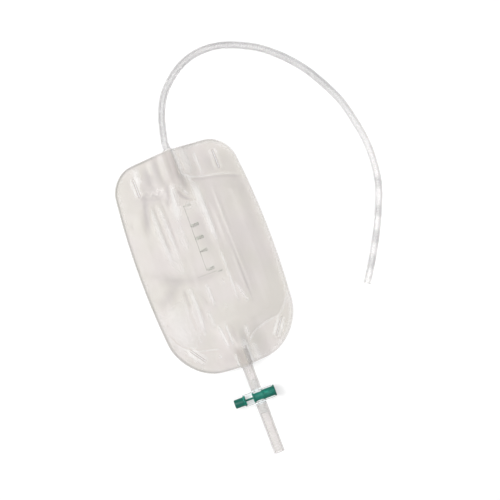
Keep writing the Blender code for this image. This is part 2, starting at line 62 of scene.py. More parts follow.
HALF_WIDTH = FILM_HIGH.x
HALF_LENGTH = (FILM_HIGH.y - FILM_LOW.y) / 2
BAG_Y = (FILM_HIGH.y + FILM_LOW.y) / 2
TOP_Y, BOTTOM_Y = FILM_HIGH.y, FILM_LOW.y
INLET_X = (PORT_LOW.x + PORT_HIGH.x) / 2
INLET_Z = (PORT_LOW.z + PORT_HIGH.z) / 2
PORT_OD = PORT_HIGH.x - PORT_LOW.x
OUTLET_X = (OUTLET_LOW.x + OUTLET_HIGH.x) / 2
OUTLET_Z = (OUTLET_LOW.z + OUTLET_HIGH.z) / 2
OUTLET_OD = OUTLET_HIGH.x - OUTLET_LOW.x
SLEEVE_OD = SLEEVE_HIGH.x - SLEEVE_LOW.x
TAP_Y = (TAP_LOW.y + TAP_HIGH.y) / 2
MM = 0.001

# The photograph's view: straight down, turned a little, half a metre across

VIEW_CENTRE = Vector((0.0443, TAP_Y + 0.13935, 0.004))
VIEW_TURN = radians(-20.5)
VIEW_WIDTH = 0.500
VIEW_DISTANCE = 1.05
SENSOR = 36
IMAGE_RIGHT = Vector((cos(VIEW_TURN), sin(VIEW_TURN), 0))
IMAGE_UP = Vector((-sin(VIEW_TURN), cos(VIEW_TURN), 0))

# The stage

WHITE = (1, 1, 1, 1)
BLACK = (0, 0, 0, 1)
FLOOR_SIZE = 6
FLOOR_GAP = 0.0004
FLOOR_GREY = (0.46, 0.46, 0.46, 1)
FLOOR_GLOW = 0.58
ROOM_SHARE = 0.60
# Each lamp's name, how far right of the view's centre, up the image and above it, size and watts
LAMPS = [("key", -1.50, 0.15, 1.95, 0.80, 30.0), ("sheen", -0.62, 0.10, 2.20, 0.50, 9.0)]

# The inlet tube. Its route falls to the floor in its first two points and lies on it from there on.

TUBE_OD = 0.0070
TUBE_BORE = 0.0046
TUBE_REST = 0.0036
TUBE_SIDES = 40
TUBE_STEP = 0.0035
TUBE_EXIT = Vector((INLET_X, PORT_HIGH.y + 0.0003, INLET_Z))
TUBE_ROUTE = [(0.0039, 0.1776, 0.0046), (0.0081, 0.1931, 0.0038)]
TUBE_ROUTE += [(x, y, TUBE_REST) for x, y in (
    (0.0160, 0.2101), (0.0270, 0.2229), (0.0405, 0.2331), (0.0560, 0.2397), (0.0725, 0.2417),
    (0.0900, 0.2393), (0.1080, 0.2324), (0.1257, 0.2224), (0.1435, 0.2070), (0.1593, 0.1884),
    (0.1715, 0.1679), (0.1816, 0.1460), (0.1876, 0.1226), (0.1913, 0.0991), (0.1910, 0.0751),
    (0.1870, 0.0516), (0.1778, 0.0286), (0.1677, 0.0077), (0.1555, -0.0139), (0.1425, -0.0344),
)]
# Where it is greyer, by how far a place lies from the open end: stretches and their soft ends, in
# millimetres, then the part near the port, and a patchy line of painted shade along one side
TUBE_BANDS = [(13, 30), (40, 56), (67, 80), (96, 108)]
BAND_FADE = 3
NEAR_PORT = (0.14, 0.24)
TUBE_LINE, TUBE_LINE_WIDTH = radians(124), 0.40
TUBE_LINE_START = (0.10, 0.20)
PATCHES = (0.011, 0.0297)

# The film walls

FILM = 0.0003
WELD_GAP = 0.00004
COARSE = 0.0014
FINE = 0.0007
BACK = 0.0024
SIDE_BOW = 0.008
TOP_CROWN = 0.0045
BOTTOM_CROWN = 0.0030
TOP_RADIUS = 0.024
BOTTOM_RADIUS = 0.044
EDGE_WELD = 0.004
TOP_PAD = 0.0265
TOP_PAD_SLOPE = 0.33
BOTTOM_PAD = 0.020
BOTTOM_PAD_SLOPE = 0.30
WELD_ROLL = 0.016
CHAMBER_PUFF = 0.0022
SLIT_LENGTH = 0.018
SLIT_WIDTH = 0.0005
SLOTS = [
    (-0.0409, TOP_Y - 0.0239, 0.0),
    (0.0441, TOP_Y - 0.0239, 0.0),
    (-0.0418, BOTTOM_Y + 0.0246, radians(35)),
    (0.0450, BOTTOM_Y + 0.0246, radians(-35)),
]
RIM_OFFSET = 0.0028
RIM_WIDTH = 0.0024
RIM_HEIGHT = 0.00024
PORT_CREST = 0.001
PORT_ROLL = 0.007
OUTLET_CREST = 0.0018
OUTLET_ROLL = 0.009
WEB_START = 0.001
WEB_FALL = 0.020
LEAF_FALL = 0.009
VALVE_FLAT = 0.022
CLOSING_START = 0.001
VALVE_CLOSING = 0.024
SLEEVE_CLOSING = 0.031
LEAF = 0.0002
LEAF_ROOM = 0.0005
LEAF_GAP = 0.00012
LEAF_ROWS, LEAF_COLUMNS = 60, 33
LEAF_LINE, LEAF_LINE_SPAN, LEAF_WELD_SPAN = 0.15, (0.0002, 0.0012), (0.0015, 0.0025)
LEAF_TOP_WIDTH = 0.0185
LEAF_END_WIDTH = 0.021
LEAF_TOP_Y = LEAF_HIGH.y
LEAF_END_Y = LEAF_LOW.y
NOSE_OD = 0.0082
NOSE_ROOM = 0.0004
SLEEVE_ROOM = 0.0003
NOSE_LENGTH = 0.0055
PORT_END_Y = PORT_LOW.y

CORNER_PARTS = 40
# How far rings of points lie inside the bag's edge and outside the slits' middle lines
EDGE_RINGS = (0.0004, 0.0009, 0.0015, 0.0022, 0.0030, 0.0039, 0.0050)
SLIT_RINGS = (0.0006, 0.0011, 0.0017, 0.0022, 0.0028, 0.0034, 0.0040, 0.0046)
SLIT_STEP, RING_STEP = 0.0006, 0.0007
ROW_SHARE = 0.866
# Random waves of the front wall: height, cells' width and length, and seed. Then the field they fill.
RIPPLES = [(0.00020, 0.0045, 0.040, 3), (0.00045, 0.015, 0.045, 5)]
FIELD_LOW, FIELD_SIZE = (-0.1, -0.12), (0.2, 0.3)

# The share of a line over which a fold or a weld line fades at each end, and how smooth lines are cut up
FOLD_FADE = 0.3
SEAM_FADE = 0.12
STROKE_STEP = 0.003
CURVE_PARTS = 24
MERGE = 0.000004

# Folds of the front wall, in millimetres from the bag's middle. Each is its height (a valley's is
# below 0), its painted light (above 0, as clearer and lighter film) or painted shade (below 0, as denser
# and darker film) along it, its half width and the points of its line.
FOLDS = [
    (0, -0.06, 24, (-40, 80), (-40, 0), (-36, -60)),
    (0, -0.46, 18, (34, 100), (34, 0), (29, -84)),
    (0, -0.3, 12, (56, 100), (56, 40)),
    (0, -0.42, 13, (-15, 124), (-15, 70)),
    (0, 0.22, 9, (0, 84), (6, 60), (2, 34)),
    (0, -0.3, 5, (4, 56), (5, 20), (6, -14)),
    (0, -0.2, 8.5, (57, 66), (57, -44)),
    (-1, -1, 4, (-34.5, 92), (-36.5, 78), (-39.5, 64), (-43, 50), (-46, 38)),
    (-0.5, -0.45, 3, (-59, 62), (-58, 50)),
    (1.2, 0.5, 3.2, (-35, 84), (-35, 50), (-34, 20), (-33, -2)),
    (-0.5, -0.4, 1.2, (-31, 76), (-30.5, 40), (-30, 6)),
    (1, 0.45, 2.6, (-26, 74), (-26, 50), (-25, 12)),
    (-0.5, -0.35, 1.2, (-22, 76), (-21.5, 45), (-22, 12)),
    (0.5, 0.3, 5, (-14, 44), (-14, 8)),
    (0.2, 0.35, 6, (-29, 24), (-28, -14)),
    (1.3, 0.9, 3.8, (-6, 86), (-8.5, 70), (-10.5, 56), (-12.5, 40)),
    (-0.5, -0.95, 2.1, (-10.5, 88), (-13, 74), (-17, 58)),
    (1.4, 0.95, 3.8, (11, 84), (14, 74), (15.6, 58), (16.2, 38), (17, 4)),
    (0, 0.5, 1.6, (8, 86.5), (10.5, 83), (14, 76)),
    (-0.4, -0.5, 2.8, (-1, 94), (3.2, 85), (6.4, 77), (8.6, 66)),
    (-0.6, -1.3, 1.5, (-3.2, 77), (-2.4, 72), (-0.8, 67), (3, 63), (9.6, 59.4)),
    (0.5, 0.5, 1.8, (4, 73), (5, 65)),
    (0.8, 0.6, 1.7, (16.5, 12), (16.5, -20), (16, -56)),
    (-0.5, -0.3, 1.6, (20.5, 70), (20.5, 40), (20.5, 10)),
    (0.6, 0.45, 1.7, (25, 42), (25, 6)),
    (0.7, 0.6, 1.3, (31.4, 76), (31.2, 30), (31.4, -30)),
    (-0.4, -0.6, 1.1, (29.9, 34), (29.7, -20), (29.8, -66)),
    (0.4, 0.4, 1.2, (27.6, 4), (27.6, -58)),
    (0.4, 0.25, 1.4, (33, 10), (33, -50)),
    (0.6, 0.18, 6.5, (55, 66), (54, 14)),
    (-0.35, -0.43, 5.2, (-76, 12), (-52, -2), (-40, -9), (-28, -14), (-12, -18), (6, -18), (30, -12)),
    (0, -0.42, 7, (-66, -34), (-50, -26), (-38, -16), (-26, -10)),
    (0, 0.16, 7, (-60, -14), (-54, -20)),
    (0, -0.08, 12, (-60, -8), (-20, -26)),
    (0.3, 0.44, 12, (-50, -26), (-46, -90)),
    (0, 0.24, 10, (-28, 2), (-34, -82)),
    (0, -0.48, 9, (37, 100), (46, 78)),
    (0, -0.3, 10, (-30, 112), (-28, 84), (-25, 60)),
    (-0.5, -0.85, 2, (-32, -20), (-31.6, -46)),
    (-0.4, -0.4, 1.2, (-33.6, -38), (-33.8, -68)),
    (0.7, 0.6, 1.8, (-26, -22), (-25.4, -48), (-27.6, -74)),
    (-0.4, -0.6, 1.6, (-18.5, -28), (-14, -46)),
    (0.5, 0.45, 2.2, (-16.5, -48), (-16, -70)),
    (-0.4, -0.4, 1.4, (-22.4, -24), (-21.4, -64)),
    (0.6, 0.55, 2, (-8.6, -22), (-8.4, -50)),
    (0, 0.12, 12, (4, -10), (8, -60)),
    (0.9, 0.55, 3.2, (19, -30), (22.5, -44), (26.5, -60)),
    (0, -0.16, 13, (-4, -62), (24, -68), (56, -62)),
    (0, -0.22, 6, (9, 54), (8, 0)),
    (-0.7, -0.55, 2.4, (0.5, -68), (1, -82), (2, -96)),
    (0.7, 0.75, 1.9, (-12, -66), (-10.5, -80), (-9, -94)),
    (0.7, 0.7, 1.6, (-5, -66), (-4, -92)),
    (-0.4, -0.3, 1.4, (-7.5, -70), (-7, -92)),
    (0.6, 0.5, 2.2, (14, -74), (13, -92)),
]
# Pleats of the welded top and bottom, given in the same way
PLEATS = [
    (0.5, 0.7, 4, (-36, 110), (-36, 90)),
    (0, -0.35, 3.6, (-27, 108), (-27, 80)),
    (0, -0.25, 10, (-16, 118), (-16, 82)),
    (0.4, 0.55, 1.5, (-7.5, 112), (-8.5, 90)),
    (0.4, 0.6, 1.9, (-22, 110), (-21.5, 94)),
    (0.4, 0.45, 1.9, (-11, 112), (-12.5, 84)),
    (0, -0.3, 2.2, (-16.5, 110), (-17, 90)),
    (0.4, 0.4, 3.6, (15, 114), (15.5, 82)),
    (0.5, 0.6, 1.7, (25.5, 106), (26.5, 76)),
    (0, -0.3, 4.4, (33, 110), (33, 78)),
    (0, -0.55, 4.6, (1.2, 128), (1.2, 104), (1.8, 78)),
    (0, 0.85, 2.4, (6.2, 128), (6.6, 104), (7.6, 80)),
    (0, -0.2, 2.2, (-48, 106), (-47, 82)),
    (0.3, 0.4, 1.6, (-50, -78), (-44, -98)),
    (0.4, 0.5, 3, (15, -94), (15, -116)),
    (0, -0.12, 7, (25, -88), (25, -118)),
    (0, 1.3, 3, (6.4, -86), (6.6, -106), (6.6, -126)),
    (0, 0.5, 2.2, (-5.4, -96), (-5.4, -106), (-5.4, -122)),
    (0, -0.55, 3.4, (0.2, -94), (0.2, -106), (0.2, -124)),
    (0, -0.3, 3.2, (-10, -94), (-11, -114)),
    (0.3, 0.4, 2.2, (-20, -94), (-22, -110)),
    (0, -0.36, 7, (-24, -98), (-19, -110)),
]
# The weld lines that close the chamber, given in the same way
SEAMS = [
    (0.24, 0.52, 1.2, (6, 90), (9, 86), (15, 81.5), (25, 78.5), (40, 75.5), (52, 71.5), (62, 67.5)),
    (0, -0.55, 1.4, (13, 79.3), (25, 75.8), (40, 72.8), (52, 68.8), (62, 65)),
    (0.1, 0.3, 1.4, (-37, 82), (-33, 77.5), (-27, 74.5), (-20, 75.5), (-14, 80), (-9, 86)),
    (0, -0.45, 1.1, (-34, 75.5), (-27, 72.4), (-20, 73.2), (-15, 77)),
    (0.1, 0.66, 1.2, (-38, 87), (-36, 81), (-33, 84), (-30.5, 77), (-27.5, 81), (-24, 76),
     (-21, 82), (-18, 78), (-15, 84)),
    (0, -0.7, 0.9, (-36, 78.6), (-33, 81.4), (-30, 74.8), (-27.4, 78.6), (-24, 73.6), (-20.6, 79),
     (-17.4, 76)),
    (0, 0.4, 0.8, (-31, 88), (-28, 85), (-25, 88.5), (-22, 84.5), (-19.5, 88)),
    (0, -0.45, 0.8, (-64, -56), (-56, -72), (-44, -81.5), (-30, -85.5), (-16, -89)),
    (0.1, 0.3, 0.8, (-64, -58), (-56, -74), (-44, -83.5), (-30, -87.5), (-16, -91)),
    (0, -0.35, 0.7, (-45, -85), (-30, -89.5), (-16, -93)),
    (0.1, 0.38, 1.3, (64, -60), (57, -71), (48, -79), (38, -80), (21, -85), (10, -95)),
    (0, -0.4, 0.9, (62, -59), (55, -69.5), (47, -77.2), (37, -78), (21, -83), (9, -92)),
]
SEAM_LIMIT = 0.0004
EDGE_BEAD = 0.00030
EDGE_BEAD_WIDTH = 0.0016
# How much lower the bead is on the right, and where it falls
BEAD_LOWER, BEAD_FALL = 0.8, (-0.02, 0.04)
# The slit rims' painted highlight, as clearer and lighter film: even and random shares, cells and seed, and
# where it ends along a slit
RIM_HIGHLIGHT, RIM_HIGHLIGHT_VARIED = 0.75, 0.40
RIM_GRAIN = (0.0030, 0.0070, 8)
RIM_ENDS = (0.006, 0.0125)
# Painted shade in the slits, as denser and darker film: its strength, and where it fades out from a slit's
# middle
SLIT_SHADE, SLIT_EDGE = 0.90, (0.0004, 0.0016)
# Painted light along the edge, as clearer and lighter film, on the right and on the left, how far each
# reaches in, and where they meet
RIGHT_EDGE_LIGHT, RIGHT_REACH = 0.42, (0.002, 0.006)
LEFT_EDGE_LIGHT, LEFT_REACH = 0.15, (0.002, 0.010)
RIGHT_SIDE = (0.0, 0.045)
# The dark line just inside the cut edge, with painted shade that makes it darker on the left and along the
# top:
# its least darkness, where it is darker, its depth and width
LINE_LEAST, LINE_TOP_SHARE = 0.25, 0.75
LINE_FALL, LINE_TOP = (-0.02, 0.03), (TOP_Y - 0.012, TOP_Y - 0.004)
LINE_DEPTH, LINE_WIDTH = 0.0012, 0.0008
BACK_LINE = 0.6

# The printed scale, in millimetres from the bag's middle: its line, its stray dashes (two ends, height,
# width, share of ink kept), then each mark's place, number, height of figures and share of ink kept

INK = 0.00003
INK_LIFT = 0.00008
SCALE_TURN = radians(2)
SCALE_LINE = [(-2.6, 56), (-2.8, 30), (-3.2, 4), (-3.4, -12)]
SCALE_LINE_WIDTH, SCALE_LINE_KEPT = 0.00040, 0.26
SCALE_DASHES = [(-14.0, 6.0, -15.6, 0.5, 0.12), (7.2, 11.4, -16.8, 1.2, 0.16)]
MARK_START, MARK_END, MARK_WIDTH = -0.0014, -0.0002, 0.0007
SCALE_MARKS = [
    (-1.6, 56.0, "100", 4.0, 0.45),
    (-1.6, 44.0, "", 3.8, 0.35),
    (-1.8, 35.0, "200", 4.6, 0.95),
    (-1.8, 21.5, "300", 4.6, 1.00),
    (-2.0, 8.0, "400", 4.2, 0.65),
    (-2.2, -11.5, "500", 4.4, 0.60),
]

# The tap

BARREL_BORE_R = 0.0056
COLLAR_R = 0.0056
COLLAR_REACH = 0.0076
SPIGOT_R = 0.0033
SPIGOT_BORE_R = 0.0022
TUBE_INNER_R = 0.0036
STROKE = 0.0095
HEAD_R = 0.00445
NECK_R = 0.0010
LAND_R = 0.0043
SHAFT_R = 0.0048
RIB_R = 0.0054
RIB_HALF = 0.0010
FLANGE_WIDTH = 0.0018
SPOOL_EDGE = 0.0003
DISH_DEPTH = 0.0006
DISH_CENTRE_R = 0.0004
TUBE_BEVEL = 0.0003
SPIGOT_BEVEL = 0.0003
BARREL_BEVEL = 0.0004


# Shader maths


class Shade:
    """One output of a material's node tree. Sums written with it add their Math nodes to the tree."""

    def __init__(self, tree, socket=None):
        self.tree = tree
        self.socket = socket

    def node(self, kind, sockets=None, output=0, **settings):
        """Adds any other node: its settings first, then the values or links of its sockets."""
        made = self.tree.nodes.new(kind)
        for name, value in settings.items():
            setattr(made, name, value)
        for name, value in (sockets or {}).items():
            if isinstance(value, Shade):
                self.tree.links.new(value.socket, made.inputs[name])
            else:
                made.inputs[name].default_value = value
        return Shade(self.tree, made.outputs[output])

    def maths(self, operation, first, second):
        return self.node("ShaderNodeMath", {0: first, 1: second}, operation=operation)

    def __add__(self, other):
        return self.maths("ADD", self, other)

    def __radd__(self, other):
        return self.maths("ADD", other, self)

    def __sub__(self, other):
        return self.maths("SUBTRACT", self, other)

    def __rsub__(self, other):
        return self.maths("SUBTRACT", other, self)

    def __mul__(self, other):
        return self.maths("MULTIPLY", self, other)

    def __rmul__(self, other):
        return self.maths("MULTIPLY", other, self)

    def clamped(self, low, high):
        """0 where this is below low, 1 above high, and an even S between them."""
        sockets = {"Value": self, "From Min": low, "From Max": high}
        return self.node("ShaderNodeMapRange", sockets, interpolation_type="SMOOTHSTEP")

    def mixed(self, *colours):
        """The first colour where this is 0 and the second where it is 1."""
        first, second = (colour if isinstance(colour, Shade) else (*colour, 1) for colour in colours)
        return self.node("ShaderNodeMix", {0: self, 6: first, 7: second}, output=2, data_type="RGBA")

    def bump(self, strength, depth):
        """The surface normal of a relief with this height, where 1 is the given depth in metres."""
        return self.node("ShaderNodeBump", {"Strength": strength, "Distance": depth, "Height": self})

    def ray(self, name):
        return self.node("ShaderNodeLightPath", output=name)

    def attribute(self, name):
        return self.node("ShaderNodeAttribute", output="Fac", attribute_name=name)

    def grain(self, scale, detail, stretch=(1, 1, 1)):
        """Noise on the object's own coordinates, so many cells to the metre, drawn out along an axis."""
        place = self.node("ShaderNodeTexCoord", output="Object")
        stretched = self.node("ShaderNodeMapping", {"Vector": place, "Scale": stretch})
        return self.node("ShaderNodeTexNoise", {"Vector": stretched, "Scale": scale, "Detail": detail})


def blank_material(name):
    """A new material with only its output node, and a Shade to build it with."""
    made = bpy.data.materials.new(name)
    made.use_nodes = True
    tree = made.node_tree
    tree.nodes.clear()
    tree.nodes.new("ShaderNodeOutputMaterial")
    return made, Shade(tree)


def surface(made, shader, volume=None):
    tree = made.node_tree
    output = tree.nodes["Material Output"]
    tree.links.new(shader.socket, output.inputs["Surface"])
    if volume:
        tree.links.new(volume.socket, output.inputs["Volume"])
    return made


# Materials

# Film colours: darker for painted shade, plain and yellowed tints, lighter for painted light, and the cut
# edge's dark line with its painted shade
SHADED_DENSE_FILM = (0.55, 0.50, 0.485)
PLAIN_FILM = (0.79, 0.72, 0.685)
YELLOWED_FILM = (0.76, 0.71, 0.635)
LIT_CLEAR_FILM = (0.96, 0.925, 0.895)
CUT_EDGE_AND_SHADE = (0.30, 0.31, 0.30)


def film_material(name, shaded_alpha, plain_alpha, lit_alpha):
    """Soft frosted film: finely grained, streaked along its length, with painted light and shade as clearer
    or denser film.
    """
    made, shade = blank_material(name)
    cloud = shade.grain(38, 3)
    streak = shade.grain(210, 3, (1, 0.10, 1))
    frost = shade.grain(2600, 2)
    rim = shade.attribute("rim")
    # Painted light and shade from the wall's marks, with random cloud and streak variation on top
    tone = shade.attribute("tone") + 0.22 * (cloud - 0.5) + 0.13 * (streak - 0.5)
    denser_shaded = 1 - tone.clamped(-0.12, 0.60)
    clearer_lit = tone.clamped(0.40, 1.12)
    tinted = shade.grain(26, 2).clamped(0.35, 0.65).mixed(PLAIN_FILM, YELLOWED_FILM)
    body = denser_shaded.mixed(clearer_lit.mixed(tinted, LIT_CLEAR_FILM), SHADED_DENSE_FILM)
    spread = (shaded_alpha - plain_alpha) * denser_shaded - (plain_alpha - lit_alpha) * clearer_lit
    shader = shade.node("ShaderNodeBsdfPrincipled", {
        "Base Color": (0.66 * rim).mixed(body, CUT_EDGE_AND_SHADE),
        "Roughness": 0.34 + 0.14 * frost - 0.05 * shade.attribute("weld"),
        "Alpha": plain_alpha + spread + 0.15 * rim,
        "IOR": 1.52,
        "Normal": (streak * 0.9 + frost * 0.15).bump(0.24, 0.0003),
    })
    return surface(made, shader)


def clear_material(name, colours, absorbed, density, roughness, shadow, through, ior, coat, drawn=0.05):
    """Clear plastic that tints what passes through it by how far it passes, and lets lamps through.
    Its colours are the two of its mottle and that of its grey bands and of its painted shade."""
    made, shade = blank_material(name)
    low, high, banded = colours
    line = shade.grain(700, 2, (1, drawn, 1))
    mottle = shade.grain(120, 3)
    plain = mottle.clamped(0.3, 0.7).mixed(low, high)
    glass = shade.node("ShaderNodeBsdfPrincipled", {
        "Base Color": shade.attribute("band").mixed(plain, banded),
        "Roughness": roughness + 0.05 * mottle,
        "IOR": ior,
        "Transmission Weight": through,
        "Coat Weight": coat,
        "Coat Roughness": 0.25,
        "Normal": (line * 0.5 + mottle * 0.7).bump(0.006, 0.0002),
    })
    passed = shade.node("ShaderNodeBsdfTransparent", {"Color": (shadow, shadow, shadow, 1)})
    shader = shade.node("ShaderNodeMixShader", {0: shade.ray("Is Shadow Ray"), 1: glass, 2: passed})
    volume = shade.node("ShaderNodeVolumeAbsorption", {"Color": (*absorbed, 1), "Density": density})
    return surface(made, shader, volume)


def green_material():
    """Satin moulded plastic with flow marks and fine handling scuffs."""
    made, shade = blank_material("green_moulding")
    flow = shade.grain(140, 3, (0.25, 1, 1))
    scuff = shade.grain(1500, 3)
    shader = shade.node("ShaderNodeBsdfPrincipled", {
        "Base Color": flow.clamped(0.3, 0.7).mixed((0.006, 0.118, 0.087), (0.009, 0.165, 0.121)),
        "Roughness": 0.24 + 0.16 * scuff,
        "IOR": 1.33,
        "Normal": (flow * 0.6 + scuff * 0.25).bump(0.22, 0.0002),
    })
    return surface(made, shader)


def ink_material():
    """Grey-green ink, thin and a little broken, and rubbed off in places."""
    made, shade = blank_material("green_ink")
    broken = shade.grain(1800, 3)
    worn = shade.grain(420, 2).clamped(0.36, 0.60)
    kept = shade.attribute("ink")
    shader = shade.node("ShaderNodeBsdfPrincipled", {
        "Base Color": broken.clamped(0.3, 0.7).mixed((0.055, 0.120, 0.050), (0.10, 0.18, 0.085)),
        "Roughness": 0.5 + 0.1 * broken,
        "Alpha": kept * (0.18 + 0.36 * broken.clamped(0.25, 0.6) + 0.44 * worn),
    })
    return surface(made, shader)


# The stage: camera, floor and light


def stage():
    camera = bpy.data.objects.new("camera", bpy.data.cameras.new("camera"))
    bpy.context.scene.collection.objects.link(camera)
    camera.data.sensor_width = SENSOR
    camera.data.lens = SENSOR * VIEW_DISTANCE / VIEW_WIDTH
    camera.location = VIEW_CENTRE + Vector((0, 0, VIEW_DISTANCE))
    camera.rotation_euler.z = VIEW_TURN
    bpy.context.scene.camera = camera

    place = (VIEW_CENTRE.x, VIEW_CENTRE.y, -FLOOR_GAP)
    bpy.ops.mesh.primitive_plane_add(size=FLOOR_SIZE, location=place)
    floor = bpy.context.object
    floor.name = "floor"
    made, shade = blank_material("floor")
    plain = shade.node("ShaderNodeBsdfDiffuse", {"Color": FLOOR_GREY})
    lit = shade.node("ShaderNodeEmission", {"Color": WHITE, "Strength": FLOOR_GLOW})
    dark = shade.node("ShaderNodeEmission", {"Color": BLACK, "Strength": 0})
    extra = shade.node("ShaderNodeMixShader", {0: seen_rays(shade), 1: dark, 2: lit})
    both = shade.node("ShaderNodeAddShader", {0: plain, 1: extra})
    floor.data.materials.append(surface(made, both))

    for name, right, up, above, size, energy in LAMPS:
        light = bpy.data.lights.new(name, "AREA")
        light.shape = "SQUARE"
        light.size = size
        light.energy = energy
        holder = bpy.data.objects.new(name, light)
        bpy.context.scene.collection.objects.link(holder)
        away = right * IMAGE_RIGHT + up * IMAGE_UP + Vector((0, 0, above))
        holder.location = VIEW_CENTRE + away
        holder.rotation_mode = "QUATERNION"
        holder.rotation_quaternion = away.to_track_quat("Z", "Y")

    world = bpy.data.worlds.new("studio")
    bpy.context.scene.world = world
    world.use_nodes = True
    tree = world.node_tree
    tree.nodes.clear()
    shade = Shade(tree)
    direction = shade.node("ShaderNodeTexCoord", output="Generated")
    height = shade.node("ShaderNodeSeparateXYZ", {"Vector": direction}, output="Z")
    dome = 0.35 + 0.65 * height.clamped(0.0, 0.9)
    strengths = (ROOM_SHARE * dome, dome, 1.0)
    room, glossy, white = (
        shade.node("ShaderNodeBackground", {"Color": WHITE, "Strength": strength}) for strength in strengths
    )
    seen = shade.node("ShaderNodeMixShader", {0: seen_rays(shade), 1: room, 2: glossy})
    mixed = shade.node("ShaderNodeMixShader", {0: shade.ray("Is Camera Ray"), 1: seen, 2: white})
    output = tree.nodes.new("ShaderNodeOutputWorld")
    tree.links.new(mixed.socket, output.inputs["Surface"])


def seen_rays(shade):
    """1 for the rays that see things: from the camera, off gloss and through glass."""
    either = shade.maths("MAXIMUM", shade.ray("Is Camera Ray"), shade.ray("Is Glossy Ray"))
    any_of = shade.maths("MAXIMUM", either, shade.ray("Is Transmission Ray"))
    scattered = shade.maths("MINIMUM", shade.ray("Diffuse Depth"), 1.0)
    return any_of * (1 - scattered)


# Ways of making pieces


def finish(piece, material, body, *nodes, slot=None):
    """Gives a finished piece its material and its body, and hides the solids that it stands for."""
    piece.data.materials.clear()
    piece.data.materials.append(material)
    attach(piece, body)
    if nodes:
        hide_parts(*nodes)


def mark(piece, **marks):
    """Stores numbers at each point of a piece, under their names, for its material to read."""
    for name, values in marks.items():
        made = piece.data.attributes.new(name, "FLOAT", "POINT")
        made.data.foreach_set("value", np.full(len(piece.data.vertices), values, np.float32))


def points_of(piece):
    """The places of a piece's points, a row of x, y and z for each."""
    places = np.zeros(len(piece.data.vertices) * 3)
    piece.data.vertices.foreach_get("co", places)
    return places.reshape(-1, 3)


def set_heights(piece, heights):
    """Moves each point of a piece to a new height."""
    places = points_of(piece)
    places[:, 2] = heights
    piece.data.vertices.foreach_set("co", places.ravel())
    piece.data.update()


def only(piece):
    """Selects one object and makes it the active one."""
    bpy.ops.object.select_all(action="DESELECT")
    piece.select_set(True)
    bpy.context.view_layer.objects.active = piece


def apply_modifiers(piece):
    only(piece)
    for modifier in list(piece.modifiers):
        bpy.ops.object.modifier_apply(modifier=modifier.name)


def turned(name, axis, centre, stations, sides=64, bevel=0.0):
    """A turned piece: a circle extruded and scaled from station to station (place along axis, radius)."""
    bpy.ops.object.select_all(action="DESELECT")
    along = Vector((1, 0, 0)) if axis == "X" else Vector((0, 1, 0))
    facing = (0, pi / 2, 0) if axis == "X" else (-pi / 2, 0, 0)
    (place, radius), *others = stations
    spot = centre + along * place
    bpy.ops.mesh.primitive_circle_add(vertices=sides, radius=radius, location=spot, rotation=facing)
    piece = bpy.context.object
    piece.name = name
    bpy.ops.object.mode_set(mode="EDIT")
    bpy.ops.mesh.select_all(action="SELECT")
    if stations[0] != stations[-1]:
        bpy.ops.mesh.edge_face_add()
    for next_place, next_radius in others:
        step = along * (next_place - place)
        bpy.ops.mesh.extrude_region_move(TRANSFORM_OT_translate={"value": step})
        scale = next_radius / radius
        bpy.ops.transform.resize(value=(scale, scale, scale), center_override=centre + along * next_place)
        place, radius = next_place, next_radius
    bpy.ops.mesh.select_all(action="SELECT")
    bpy.ops.mesh.remove_doubles(threshold=MERGE)
    bpy.ops.mesh.normals_make_consistent(inside=False)
    if bevel:
        bpy.ops.mesh.select_all(action="DESELECT")
        bpy.ops.mesh.select_mode(type="EDGE")
        bpy.ops.mesh.edges_select_sharp(sharpness=radians(40))
        bpy.ops.mesh.bevel(offset=bevel, segments=3, affect="EDGES")
    bpy.ops.object.mode_set(mode="OBJECT")
    bpy.ops.object.transform_apply(location=True, rotation=True, scale=True)
    bpy.ops.object.shade_smooth_by_angle(angle=radians(35))
    return piece


def smooth_line(points, step):
    """Points at even steps along a smooth curve through the given ones."""
    points = [Vector(point) for point in points]
    ends = [points[0] * 2 - points[1], *points, points[-1] * 2 - points[-2]]
    fine = []
    for before, start, end, after in zip(ends, ends[1:], ends[2:], ends[3:]):
        for k in range(CURVE_PARTS):
            t = k / CURVE_PARTS
            curve = 2 * start + (end - before) * t + (2 * before - 5 * start + 4 * end - after) * t**2
            fine.append((curve + (3 * start - before - 3 * end + after) * t**3) * 0.5)
    fine.append(points[-1])
    lengths = [0.0]
    for a, b in zip(fine, fine[1:]):
        lengths.append(lengths[-1] + (b - a).length)
    count = max(2, round(lengths[-1] / step))
    line, index = [], 0
    for k in range(count + 1):
        wanted = lengths[-1] * k / count
        while index < len(fine) - 2 and lengths[index + 1] < wanted:
            index += 1
        share = (wanted - lengths[index]) / (lengths[index + 1] - lengths[index])
        line.append(fine[index].lerp(fine[index + 1], share))
    return line


def smooth(value, low, high):
    """0 below low, 1 above high, and an even S between them."""
    share = np.clip((value - low) / (high - low), 0, 1)
    return share * share * (3 - 2 * share)


# The inlet tube


